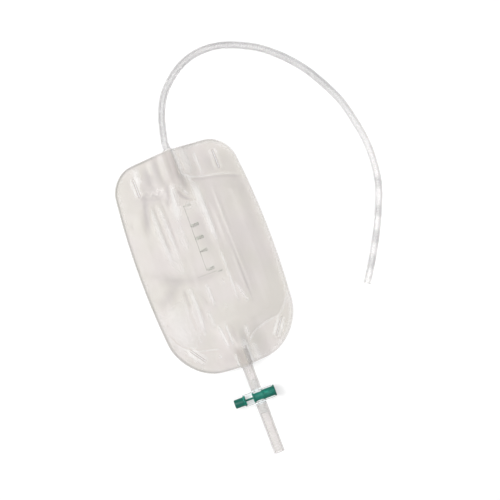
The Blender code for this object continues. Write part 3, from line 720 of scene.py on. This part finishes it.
def inlet_tube(material):
    """The hollow tube, from the port's mouth in one loose curve over the floor to its bare open end."""
    straight = TUBE_EXIT + Vector((0, TUBE_OD, 0))
    path = [TUBE_EXIT, *smooth_line([straight, *TUBE_ROUTE], TUBE_STEP)]
    ahead = [(b - a).normalized() for a, b in zip(path, path[1:])]
    tangents = [(a + b).normalized() for a, b in zip([ahead[0], *ahead], [*ahead, ahead[-1]])]
    angles = TAU * np.arange(TUBE_SIDES) / TUBE_SIDES
    shape = bmesh.new()
    walls = []
    for radius in (TUBE_OD / 2, TUBE_BORE / 2):
        rings = []
        for centre, tangent in zip(path, tangents):
            across = tangent.cross(Vector((0, 0, 1))).normalized()
            up = across.cross(tangent)
            spokes = [cos(angle) * across + sin(angle) * up for angle in angles]
            rings.append([shape.verts.new(centre + radius * spoke) for spoke in spokes])
        walls.append(rings)
    outer, inner = walls
    pairs = [pair for rings in walls for pair in zip(rings, rings[1:])]
    for low, high in [*pairs, (outer[0], inner[0]), (outer[-1], inner[-1])]:
        for k in range(TUBE_SIDES):
            shape.faces.new((low[k], low[k - 1], high[k - 1], high[k]))
    bmesh.ops.recalc_face_normals(shape, faces=shape.faces)
    mesh = bpy.data.meshes.new("inlet_hose")
    shape.to_mesh(mesh)
    shape.free()
    mesh.shade_smooth()
    mesh.set_sharp_from_angle(angle=radians(40))
    piece = bpy.data.objects.new("inlet_hose", mesh)
    bpy.context.scene.collection.objects.link(piece)
    mark(piece, band=np.tile(tube_bands(path, angles), 2))
    finish(piece, material, "bag", "inlet_tube", slot="clear_tube")


def tube_bands(path, angles):
    """How grey the tube is at each point of its rings: in stretches, near the port and along a line of
    painted shade on one side.
    """
    lengths = [(b - a).length for a, b in zip(path, path[1:])]
    along = np.repeat(np.append(np.cumsum(lengths[::-1])[::-1], 0), len(angles))
    around = np.tile(angles, len(path))
    stretches = sum(
        smooth(along, start * MM, (start + BAND_FADE) * MM) - smooth(along, (end - BAND_FADE) * MM, end * MM)
        for start, end in TUBE_BANDS
    )
    # Painted shade: a patchy dark line along one side of the tube
    line = np.exp(-(((around - TUBE_LINE) / TUBE_LINE_WIDTH) ** 2)) * smooth(along, *TUBE_LINE_START)
    patchy = 0.55 + 0.45 * np.sin(along / PATCHES[0]) * np.sin(along / PATCHES[1])
    return 0.45 * stretches + 0.37 * smooth(along, *NEAR_PORT) + 0.85 * line * patchy


# The film walls


def bag_outline(step):
    """A rounded rectangle whose sides bow out and whose ends are crowned, anticlockwise."""
    plain = []
    for quarter, (side, end) in enumerate(((1, 1), (-1, 1), (-1, -1), (1, -1))):
        radius = TOP_RADIUS if end > 0 else BOTTOM_RADIUS
        x, y = side * (HALF_WIDTH - radius), end * (HALF_LENGTH - radius)
        for k in range(CORNER_PARTS + 1):
            angle = (quarter + k / CORNER_PARTS) * pi / 2
            plain.append((x + radius * cos(angle), y + radius * sin(angle)))
    points = []
    for (x0, y0), (x1, y1) in zip(plain, plain[1:] + plain[:1]):
        count = ceil(Vector((x1 - x0, y1 - y0)).length / step)
        for k in range(count):
            points.append(bowed(x0 + (x1 - x0) * k / count, y0 + (y1 - y0) * k / count))
    return np.array(points)


def bowed(x, y):
    across, along = x / HALF_WIDTH, y / HALF_LENGTH
    crown = TOP_CROWN if along > 0 else BOTTOM_CROWN
    return x - SIDE_BOW * along**2 * across, BAG_Y + y - crown * across**2 * along


def slot_outline(slot, away, step):
    """The round-ended outline at a distance from a strap slit's middle line."""
    x, y, turn = slot
    end = (SLIT_LENGTH - SLIT_WIDTH) / 2
    around, along = max(4, ceil(pi * away / step)), ceil(2 * end / step)
    side = [(away, end * (2 * k / along - 1)) for k in range(along)]
    cap = [(away * cos(pi * k / around), end + away * sin(pi * k / around)) for k in range(around)]
    half = side + cap
    points = []
    for u, v in half + [(-u, -v) for u, v in half]:
        points.append((x + u * cos(turn) - v * sin(turn), y + u * sin(turn) + v * cos(turn)))
    return np.array(points)


def slot_places(x, y):
    """The distance from the nearest slit's middle line, and how far along that slit from its middle."""
    nearest, along = np.full(np.shape(x), 1.0), np.zeros(np.shape(x))
    end = (SLIT_LENGTH - SLIT_WIDTH) / 2
    for centre_x, centre_y, turn in SLOTS:
        u = (x - centre_x) * cos(turn) + (y - centre_y) * sin(turn)
        v = (y - centre_y) * cos(turn) - (x - centre_x) * sin(turn)
        away = np.hypot(u, v - np.clip(v, -end, end))
        along = np.where(away < nearest, np.abs(v), along)
        nearest = np.minimum(nearest, away)
    return nearest, along


def line_distance(x, y, line):
    """How far each place lies from a line of points, how far along it that is, and the line's length."""
    nearest = np.full(np.shape(x), 9.0)
    along = np.zeros(np.shape(x))
    passed = 0.0
    for (x0, y0), (x1, y1) in zip(line, line[1:]):
        dx, dy = x1 - x0, y1 - y0
        length = np.hypot(dx, dy)
        share = np.clip(((x - x0) * dx + (y - y0) * dy) / length**2, 0, 1)
        away = np.hypot(x - x0 - share * dx, y - y0 - share * dy)
        closer = away < nearest
        nearest = np.where(closer, away, nearest)
        along = np.where(closer, passed + share * length, along)
        passed += length
    return nearest, along, passed


def stroke_line(points):
    """The smooth line of a fold in metres, from its points in the tables."""
    places = [(x * MM, BAG_Y + y * MM, 0) for x, y in points]
    return [tuple(point)[:2] for point in smooth_line(places, STROKE_STEP)]


def stroke_sums(x, y, table, fade):
    """The height and the painted light and shade that folds give each place: highest on their lines, fading
    at their ends.
    """
    height, tone = np.zeros(np.shape(x)), np.zeros(np.shape(x))
    for rise, shade, half_width, *points in table:
        line = stroke_line(points)
        reach = 2.4 * half_width * MM
        left, low = np.min(line, axis=0) - reach
        right, high = np.max(line, axis=0) + reach
        near = (x > left) & (x < right) & (y > low) & (y < high)
        away, along, length = line_distance(x[near], y[near], line)
        weight = np.exp(-((away / (half_width * MM)) ** 2) * 1.2)
        weight *= smooth(along, -0.02 * length, fade * length)
        weight *= 1 - smooth(along, (1 - fade) * length, 1.02 * length)
        height[near] += rise * MM * weight
        tone[near] += shade * weight
    return height, tone


def wander(x, y, cell_x, cell_y, seed):
    """A smooth random field from -1 to 1 over cells of the given size."""
    random = np.random.default_rng(seed)
    columns, rows = int(FIELD_SIZE[0] / cell_x) + 4, int(FIELD_SIZE[1] / cell_y) + 4
    values = random.uniform(-1, 1, (columns, rows))
    u, v = (x - FIELD_LOW[0]) / cell_x, (y - FIELD_LOW[1]) / cell_y
    i, j = np.clip(np.floor(u).astype(int), 0, columns - 2), np.clip(np.floor(v).astype(int), 0, rows - 2)
    a, b = smooth(u - i, 0, 1), smooth(v - j, 0, 1)
    low = values[i, j] * (1 - a) + values[i + 1, j] * a
    high = values[i, j + 1] * (1 - a) + values[i + 1, j + 1] * a
    return low * (1 - b) + high * b


def side_x(y):
    return HALF_WIDTH - SIDE_BOW * ((y - BAG_Y) / HALF_LENGTH) ** 2


def valve_opening(x, y):
    """How far each valve leaf stands off the port's axis plane: round the nose, then closing flat."""
    away = np.abs(x - INLET_X)
    round_nose = NOSE_OD / 2 + NOSE_ROOM
    closing = 1 - smooth(PORT_END_Y - y, 0, VALVE_FLAT)
    return round_nose * closing * (1 - smooth(away, PORT_CREST, PORT_CREST + PORT_ROLL))


def inlet_parting(x, y):
    away = np.abs(x - INLET_X)
    stack = (LEAF + LEAF_ROOM) * (1 - smooth(away, LEAF_END_WIDTH / 2, LEAF_END_WIDTH / 2 + LEAF_FALL))
    return stack * (1 - smooth(LEAF_END_Y - y, CLOSING_START, VALVE_CLOSING)) + valve_opening(x, y)


def outlet_parting(x, y):
    away = np.abs(x - OUTLET_X)
    sleeve = SLEEVE_OD / 2 + SLEEVE_ROOM
    closing = 1 - smooth(y - SLEEVE_HIGH.y, CLOSING_START, SLEEVE_CLOSING)
    return sleeve * closing * (1 - smooth(away, OUTLET_CREST, OUTLET_CREST + OUTLET_ROLL))


def parting(x, y):
    return WELD_GAP / 2 + inlet_parting(x, y) + outlet_parting(x, y)


def middle(x, y):
    """The plane where the walls meet. It stands at the ports' axes and falls to the floor beside them."""
    at_inlet = 1 - smooth(np.abs(x - INLET_X), PORT_ROLL - WEB_START, PORT_ROLL + WEB_FALL)
    at_outlet = 1 - smooth(np.abs(x - OUTLET_X), OUTLET_ROLL - WEB_START, OUTLET_ROLL + WEB_FALL)
    lifted = inlet_parting(INLET_X, y) * at_inlet + outlet_parting(OUTLET_X, y) * at_outlet
    return FILM + WELD_GAP / 2 + lifted


def chamber(x, y):
    """1 inside the chamber and 0 on the welds, with a soft roll between them."""
    top = TOP_Y - TOP_PAD - TOP_PAD_SLOPE * np.abs(x)
    bottom = BOTTOM_Y + BOTTOM_PAD + BOTTOM_PAD_SLOPE * np.abs(x)
    sides = smooth(side_x(y) - EDGE_WELD - np.abs(x), 0, WELD_ROLL)
    return sides * smooth(top - y, 0, WELD_ROLL) * smooth(y - bottom, 0, WELD_ROLL)


def front_height(x, y):
    """The inner face of the front wall."""
    inside = chamber(x, y)
    creases = stroke_sums(x, y, FOLDS, FOLD_FADE)[0]
    ripple = sum(height * wander(x, y, *field) for height, *field in RIPPLES)
    pleats = (1 - inside) * np.maximum(0, stroke_sums(x, y, PLEATS, FOLD_FADE)[0])
    return middle(x, y) + parting(x, y) + inside * (CHAMBER_PUFF + creases + ripple) + pleats


def back_height(x, y):
    """The inner face of the back wall, which lies on the floor wherever no port lifts it."""
    return middle(x, y) - parting(x, y)


def ridge(away):
    """The raised rim round each slit, by how far a place lies from the slit's middle line."""
    return np.exp(-(((away - RIM_OFFSET) / (0.65 * RIM_WIDTH)) ** 2) * 1.1)


def front_tone(x, y, edge):
    """Painted light and shade of the front wall: clearer and lighter towards 1, denser and darker towards 0,
    plain at 0.5.
    """
    tone = stroke_sums(x, y, FOLDS + PLEATS, FOLD_FADE)[1] + stroke_sums(x, y, SEAMS, SEAM_FADE)[1]
    slot, along = slot_places(x, y)
    # Painted highlight on the slit rims, and painted shade in the slits
    rim_highlight = (RIM_HIGHLIGHT + RIM_HIGHLIGHT_VARIED * wander(x, y, *RIM_GRAIN)) * (1 - smooth(along, *RIM_ENDS))
    tone += rim_highlight * ridge(slot) - SLIT_SHADE * (1 - smooth(slot, *SLIT_EDGE))
    # Painted light along the bag's edge, stronger on the right than on the left
    right = smooth(x, *RIGHT_SIDE)
    tone += RIGHT_EDGE_LIGHT * right * (1 - smooth(edge, *RIGHT_REACH))
    tone += LEFT_EDGE_LIGHT * (1 - right) * (1 - smooth(edge, *LEFT_REACH))
    return np.clip(0.5 + 0.5 * tone, 0, 1)


def edge_line_and_shade(x, y, edge):
    """How dark the line along the cut edge is, with painted shade: most on the left and along the top, least
    on the right.
    """
    weight = np.maximum(1 - smooth(x, *LINE_FALL), LINE_TOP_SHARE * smooth(y, *LINE_TOP))
    return (LINE_LEAST + (1 - LINE_LEAST) * weight) * np.exp(-(((edge - LINE_DEPTH) / LINE_WIDTH) ** 2))


def film_lattice(coarse, fine):
    """Points over the bag, denser along its weld lines, with rings that follow its edge and its slits."""
    outline = bag_outline(coarse)
    ahead = np.roll(outline, -1, axis=0) - np.roll(outline, 1, axis=0)
    inward = np.column_stack((-ahead[:, 1], ahead[:, 0])) / np.hypot(ahead[:, 0], ahead[:, 1])[:, None]
    depths = EDGE_RINGS if fine else EDGE_RINGS[:3]
    rings = [outline] + [outline + inward * depth for depth in depths]
    loops = [slot_outline(slot, SLIT_WIDTH / 2, SLIT_STEP) for slot in SLOTS]
    offsets = SLIT_RINGS if fine else SLIT_RINGS[::3]
    rims = [slot_outline(slot, away, RING_STEP) for slot in SLOTS for away in offsets]
    closed = [*map(tuple, outline), tuple(outline[0])]
    inner = []
    for spacing in (coarse, fine) if fine else (coarse,):
        rows = int((TOP_Y - BOTTOM_Y) / (spacing * ROW_SHARE))
        places = []
        for row in range(rows + 1):
            y = BOTTOM_Y + (TOP_Y - BOTTOM_Y) * row / rows
            x = np.arange(-HALF_WIDTH + (spacing / 2 if row % 2 else 0), HALF_WIDTH, spacing)
            places.append(np.column_stack((x, np.full(len(x), y))))
        places = np.vstack(places)
        x, y = places[:, 0], places[:, 1]
        detailed = np.zeros(len(x), bool)
        for _, _, half_width, *line in SEAMS if fine else ():
            detailed |= line_distance(x, y, stroke_line(line))[0] < 2 * half_width * MM
        keep = detailed if spacing == fine else ~detailed
        keep &= line_distance(x, y, closed)[0] > depths[-1] + 0.55 * spacing
        keep &= slot_places(x, y)[0] > SLIT_RINGS[-1] + 0.5 * spacing
        keep &= within(places, outline)
        inner.append(places[keep])
    points = np.vstack([*rings, *loops, *rims, *inner])
    edges, start = [], 0
    for index, loop in enumerate([*rings, *loops]):
        if index == 0 or index >= len(rings):
            edges += [(start + k, start + (k + 1) % len(loop)) for k in range(len(loop))]
        start += len(loop)
    return points, edges, closed


def within(places, outline):
    """True where a place lies inside the outline."""
    x, y = places[:, 0], places[:, 1]
    inside = np.zeros(len(places), bool)
    for (x0, y0), (x1, y1) in zip(outline, np.roll(outline, -1, axis=0)):
        if y0 == y1:
            continue
        crosses = ((y0 > y) != (y1 > y)) & (x < x0 + (y - y0) * (x1 - x0) / (y1 - y0))
        inside ^= crosses
    return inside


def film_shell(name, points, edges, inner, outer):
    """A closed shell of film over the points but for the slits, between the heights of its two faces."""
    flat = [Vector(point) for point in points.tolist()]
    places, _, triangles, *_ = delaunay_2d_cdt(flat, edges, [], 1, 1e-7)
    x, y = np.array([place.x for place in places]), np.array([place.y for place in places])
    corners = np.array(triangles)
    away = slot_places(x[corners].mean(axis=1), y[corners].mean(axis=1))[0]
    faces = [face for face, gap in zip(triangles, away) if gap >= SLIT_WIDTH / 2]
    mesh = bpy.data.meshes.new(name)
    mesh.from_pydata([(a, b, 0) for a, b in zip(x, y)], [], faces)
    piece = bpy.data.objects.new(name, mesh)
    bpy.context.scene.collection.objects.link(piece)
    only(piece)
    bpy.ops.object.mode_set(mode="EDIT")
    bpy.ops.mesh.select_all(action="SELECT")
    bpy.ops.mesh.normals_make_consistent(inside=False)
    bpy.ops.mesh.delete_loose()
    bpy.ops.object.mode_set(mode="OBJECT")
    if mesh.polygons[0].normal.z < 0:
        mesh.flip_normals()
    wall = piece.modifiers.new("wall", "SOLIDIFY")
    wall.thickness = FILM
    wall.offset = 1
    apply_modifiers(piece)
    x, y, z = points_of(piece).T
    low, high = inner(x, y), outer(x, y)
    set_heights(piece, np.where(z > FILM / 2, np.maximum(low, high), np.minimum(low, high)))
    mesh.shade_smooth()
    mesh.set_sharp_from_angle(angle=radians(60))
    return piece, x, y


def film_walls(front_look, back_look):
    """The front wall with its folds, rims and weld lines, and the back wall under it."""
    points, edges, closed = film_lattice(COARSE, FINE)

    def front_outer(x, y):
        edge = line_distance(x, y, closed)[0]
        bead = EDGE_BEAD * (1 - smooth(edge, 0.4 * EDGE_BEAD_WIDTH, EDGE_BEAD_WIDTH))
        bead *= 1 - BEAD_LOWER * smooth(x, *BEAD_FALL)
        rims = RIM_HEIGHT * ridge(slot_places(x, y)[0])
        lines = np.minimum(stroke_sums(x, y, SEAMS, SEAM_FADE)[0], SEAM_LIMIT)
        return front_height(x, y) + FILM + np.maximum(np.maximum(bead, rims), lines)

    piece, x, y = film_shell("front_wall", points, edges, front_height, front_outer)
    edge = line_distance(x, y, closed)[0]
    mark(piece, weld=1 - chamber(x, y), rim=edge_line_and_shade(x, y, edge), tone=front_tone(x, y, edge))
    finish(piece, front_look, "bag", "front_film", slot="frosted_film")
    area = outline_area(closed)

    points, edges, closed = film_lattice(BACK, 0)
    piece, x, y = film_shell("back_wall", points, edges, lambda x, y: back_height(x, y) - FILM, back_height)
    edge = line_distance(x, y, closed)[0]
    mark(piece, weld=1 - chamber(x, y), rim=BACK_LINE * edge_line_and_shade(x, y, edge), tone=0.5)
    finish(piece, back_look, "bag", "back_film", slot="frosted_film")


def outline_area(closed):
    """The area inside a closed line of points."""
    return abs(sum(x0 * y1 - x1 * y0 for (x0, y0), (x1, y1) in zip(closed, closed[1:]))) / 2


def leaf_half(y):
    """Half the width of the valve's leaves, which widen away from the port."""
    share = (LEAF_TOP_Y - y) / (LEAF_TOP_Y - LEAF_END_Y)
    return (LEAF_TOP_WIDTH + (LEAF_END_WIDTH - LEAF_TOP_WIDTH) * share) / 2


def valve_leaves(material):
    """The flutter valve: two strips that wrap the port's nose and close flat against each other."""
    columns = np.linspace(-1, 1, LEAF_COLUMNS)
    levels = np.linspace(LEAF_TOP_Y, LEAF_END_Y, LEAF_ROWS)
    points = np.array([(INLET_X + leaf_half(y) * column, y) for y in levels for column in columns])
    order = np.arange(len(points)).reshape(LEAF_ROWS, LEAF_COLUMNS)
    border = np.concatenate((order[0], order[1:, -1], order[-1, -2::-1], order[-2:0:-1, 0])).tolist()
    edges = list(zip(border, border[1:] + border[:1]))

    def face(x, y, side, depth):
        return middle(x, y) + side * (WELD_GAP / 2 + LEAF_GAP + valve_opening(x, y) + depth)

    for name, node, side in (("front_leaf", "valve_leaf_front", 1), ("back_leaf", "valve_leaf_back", -1)):
        piece, x, y = film_shell(
            name, points, edges, lambda x, y: face(x, y, side, 0), lambda x, y: face(x, y, side, LEAF)
        )
        inward = leaf_half(y) - np.abs(x - INLET_X)
        line = LEAF_LINE * (1 - smooth(inward, *LEAF_LINE_SPAN))
        mark(piece, weld=1 - smooth(inward, *LEAF_WELD_SPAN), rim=line, tone=0.5)
        finish(piece, material, "bag", node, slot="valve_film")


# Ports, tubes and tap


def inlet_port(material):
    """The sleeve between the walls, stepped down to a ringed nose for the valve."""
    outer, nose, bore = PORT_OD / 2, NOSE_OD / 2, TUBE_BORE / 2
    mouth, end = PORT_HIGH.y, PORT_END_Y
    step = end + NOSE_LENGTH
    stations = [(mouth, bore), (mouth, outer), (step, outer), (step, nose)]
    stations += [(end, nose), (end, bore), (mouth, bore)]
    piece = turned("inlet_sleeve", "Y", Vector((INLET_X, 0, INLET_Z)), stations, bevel=TUBE_BEVEL)
    finish(piece, material, "bag", "inlet_port", slot="clear_tube")


def outlet_tubes(material, sleeve_look):
    """The sleeve in the bottom weld, the tube from it to the tap, and the open tube below the tap."""
    axis = Vector((OUTLET_X, 0, OUTLET_Z))
    outer = OUTLET_OD / 2
    pieces = (
        ("outlet_grip", "outlet_sleeve", SLEEVE_LOW.y, SLEEVE_HIGH.y, SLEEVE_OD / 2, outer + SLEEVE_ROOM),
        ("outlet_hose", "outlet_tube", OUTLET_LOW.y, OUTLET_HIGH.y, outer, TUBE_INNER_R),
        ("drain_hose", "drain_tube", DRAIN_LOW.y, DRAIN_HIGH.y, outer, TUBE_INNER_R),
    )
    for name, node, start, end, out_r, in_r in pieces:
        stations = [(start, in_r), (start, out_r), (end, out_r), (end, in_r), (start, in_r)]
        piece = turned(name, "Y", axis, stations, bevel=TUBE_BEVEL)
        look = sleeve_look if node == "outlet_sleeve" else material
        if look is material:
            across = (points_of(piece)[:, 0] - OUTLET_X) / outer
            shaded_side = 0.34 * smooth(-across, 0.55, 0.95)
            mark(piece, band=shaded_side + 0.08 * (0.5 + 0.5 * np.sin(10 * across)))
        finish(piece, look, "bag", node, slot="clear_tube")


def tap_cross(material):
    """The clear cross: a barrel for the spool, and a collar and a spigot for each tube."""
    axis = Vector((OUTLET_X, TAP_Y, OUTLET_Z))
    barrel_r = (TAP_HIGH.z - TAP_LOW.z) / 2
    left, right = TAP_LOW.x - OUTLET_X, TAP_HIGH.x - OUTLET_X
    reach = TAP_HIGH.y - TAP_Y
    stations = [(-reach, SPIGOT_R), (-COLLAR_REACH, SPIGOT_R), (-COLLAR_REACH, COLLAR_R)]
    stations += [(-place, radius) for place, radius in reversed(stations)]
    barrel = turned("tap_cross", "X", axis, [(left, barrel_r), (right, barrel_r)], bevel=BARREL_BEVEL)
    spigots = turned("tap_spigots", "Y", axis, stations, bevel=SPIGOT_BEVEL)
    spool_way = turned("spool_way", "X", axis, [(2 * left, BARREL_BORE_R), (2 * right, BARREL_BORE_R)])
    flow_way = turned("flow_way", "Y", axis, [(-2 * reach, SPIGOT_BORE_R), (2 * reach, SPIGOT_BORE_R)])
    for other, operation in ((spigots, "UNION"), (flow_way, "DIFFERENCE"), (spool_way, "DIFFERENCE")):
        cut = barrel.modifiers.new(other.name, "BOOLEAN")
        cut.operation = operation
        cut.solver = "EXACT"
        cut.object = other
    apply_modifiers(barrel)
    for other in (spigots, flow_way, spool_way):
        bpy.data.objects.remove(other)
    only(barrel)
    bpy.ops.object.shade_smooth_by_angle(angle=radians(30))
    finish(barrel, material, "bag", "tap_body", slot="clear_moulding")


def rib_stations(centre, before, after, top, half):
    """A round-topped sealing rib between two shaft radii."""
    stations = [(centre - half, before)]
    for k in range(9):
        angle = pi * (1 - k / 8)
        stations.append((centre + half * cos(angle) * 0.98, top - half * 0.7 * (1 - sin(angle))))
    return [*stations, (centre + half, after)]


def tap_spool(material):
    """The push-through spool: finger head, sealing ribs, solid land, thin neck, shaft and end flange."""
    axis = Vector((OUTLET_X, TAP_Y, OUTLET_Z))
    tip, flange_end = SPOOL_LOW.x - OUTLET_X, SPOOL_HIGH.x - OUTLET_X
    flange_start = flange_end - FLANGE_WIDTH
    flange = (SPOOL_HIGH.z - SPOOL_LOW.z) / 2
    stations = [
        (tip + DISH_DEPTH, DISH_CENTRE_R), (tip + DISH_DEPTH, 0.0028), (tip, 0.0032),
        (tip, HEAD_R - 0.0008), (tip + SPOOL_EDGE, HEAD_R - 0.0002), (tip + 0.0009, HEAD_R),
        *rib_stations(-1.5 * STROKE, HEAD_R, NECK_R, RIB_R, RIB_HALF),
        *rib_stations(-0.5 * STROKE, NECK_R, LAND_R, RIB_R, RIB_HALF),
        *rib_stations(0.5 * STROKE, LAND_R, SHAFT_R, RIB_R, RIB_HALF),
        (flange_start, SHAFT_R), (flange_start, flange - SPOOL_EDGE), (flange_start + SPOOL_EDGE, flange),
        (flange_end - SPOOL_EDGE, flange), (flange_end, flange - SPOOL_EDGE), (flange_end, 0.0034),
        (flange_end - DISH_DEPTH, 0.0030), (flange_end - DISH_DEPTH, DISH_CENTRE_R),
    ]
    piece = turned("spool", "X", axis, stations, sides=72)
    finish(piece, material, "spool", "tap_spool", slot="green_moulding")


# The printed scale


def printed(kept):
    """Lays the flat piece made last on the front wall as a thin layer of ink, of which a share is kept."""
    piece = bpy.context.object
    only(piece)
    bpy.ops.object.convert(target="MESH")
    bpy.ops.object.transform_apply(location=True, rotation=True, scale=True)
    bpy.ops.object.mode_set(mode="EDIT")
    bpy.ops.mesh.select_all(action="SELECT")
    bpy.ops.mesh.remove_doubles(threshold=0.000002)
    bpy.ops.mesh.quads_convert_to_tris()
    bpy.ops.mesh.subdivide(number_cuts=2)
    bpy.ops.object.mode_set(mode="OBJECT")
    layer = piece.modifiers.new("layer", "SOLIDIFY")
    layer.thickness = INK
    layer.offset = 1
    apply_modifiers(piece)
    x, y, z = points_of(piece).T
    set_heights(piece, z + (front_height(x, y) + FILM + INK_LIFT))
    mark(piece, ink=kept)
    return piece


def scale_print(material):
    """A graduation down the middle: a thin line, and a short mark and a number at each step."""
    parts = []

    def place_of(x, y):
        return Vector((x * MM, BAG_Y + y * MM))

    def strip(start, end, width, kept):
        bpy.ops.object.select_all(action="DESELECT")
        ahead = end - start
        centre = (start + end) / 2
        bpy.ops.mesh.primitive_grid_add(
            x_subdivisions=max(2, ceil(ahead.length / MM)), y_subdivisions=2, size=1,
            location=(centre.x, centre.y, 0), rotation=(0, 0, atan2(ahead.y, ahead.x)),
        )
        bpy.context.object.scale = (ahead.length, width, 1)
        parts.append(printed(kept))

    line = [place_of(x, y) for x, y in SCALE_LINE]
    for start, end in zip(line, line[1:]):
        strip(start, end, SCALE_LINE_WIDTH, SCALE_LINE_KEPT)
    for x0, x1, y, width, kept in SCALE_DASHES:
        strip(place_of(x0, y), place_of(x1, y), width * MM, kept)
    for x, y, number, size, kept in SCALE_MARKS:
        place = place_of(x, y)
        strip(place + Vector((MARK_START, 0)), place + Vector((MARK_END, 0)), MARK_WIDTH, kept)
        if number:
            bpy.ops.object.select_all(action="DESELECT")
            low = place.y - 0.36 * size * MM
            bpy.ops.object.text_add(location=(place.x, low, 0), rotation=(0, 0, SCALE_TURN))
            text = bpy.context.object.data
            text.body = number
            text.size = size * MM
            text.offset = -0.00002
            text.space_character = 1.12
            parts.append(printed(kept))
    bpy.ops.object.select_all(action="DESELECT")
    for part in parts:
        part.select_set(True)
    bpy.context.view_layer.objects.active = parts[0]
    bpy.ops.object.join()
    whole = bpy.context.object
    whole.name = "printed_scale"
    finish(whole, material, "bag")


# The whole


def main():
    bpy.ops.object.select_all(action="DESELECT")
    stage()
    inlet_tube(clear_material(
        "clear_tube", [(0.865, 0.86, 0.86), (0.89, 0.882, 0.878), (0.64, 0.637, 0.64)],
        absorbed=(0.50, 0.50, 0.49), density=22, roughness=0.20, shadow=0.95,
        through=0.74, ior=1.15, coat=0.08,
    ))
    front = film_material("frosted_film", 0.42, 0.33, 0.15)
    back = film_material("frosted_back", 0.14, 0.11, 0.08)
    film_walls(front, back)
    valve_leaves(film_material("valve_film", 0.05, 0.04, 0.03))
    wider = clear_material(
        "outlet_tube", [(0.835, 0.817, 0.81), (0.868, 0.85, 0.838), (0.64, 0.62, 0.625)],
        absorbed=(0.50, 0.50, 0.49), density=40, roughness=0.12, shadow=0.95,
        through=0.80, ior=1.14, coat=0.06,
    )
    sleeve = clear_material(
        "sleeve_plastic", [(0.90, 0.89, 0.885), (0.92, 0.91, 0.90), (0.90, 0.89, 0.885)],
        absorbed=(0.50, 0.49, 0.49), density=20, roughness=0.15, shadow=0.97,
        through=0.85, ior=1.06, coat=0.0,
    )
    inlet_port(sleeve)
    outlet_tubes(wider, sleeve)
    tap_cross(clear_material(
        "clear_moulding", [(0.93, 0.945, 0.945), (0.95, 0.96, 0.96), (0.93, 0.945, 0.945)],
        absorbed=(0.55, 0.62, 0.62), density=40, roughness=0.01, shadow=0.96,
        through=1.0, ior=1.10, coat=0.0, drawn=1,
    ))
    tap_spool(green_material())
    scale_print(ink_material())
    bpy.context.scene.view_settings.view_transform = "Standard"
    bpy.context.scene.cycles.transparent_max_bounces = 32
    bpy.context.scene.cycles.transmission_bounces = 16


main()
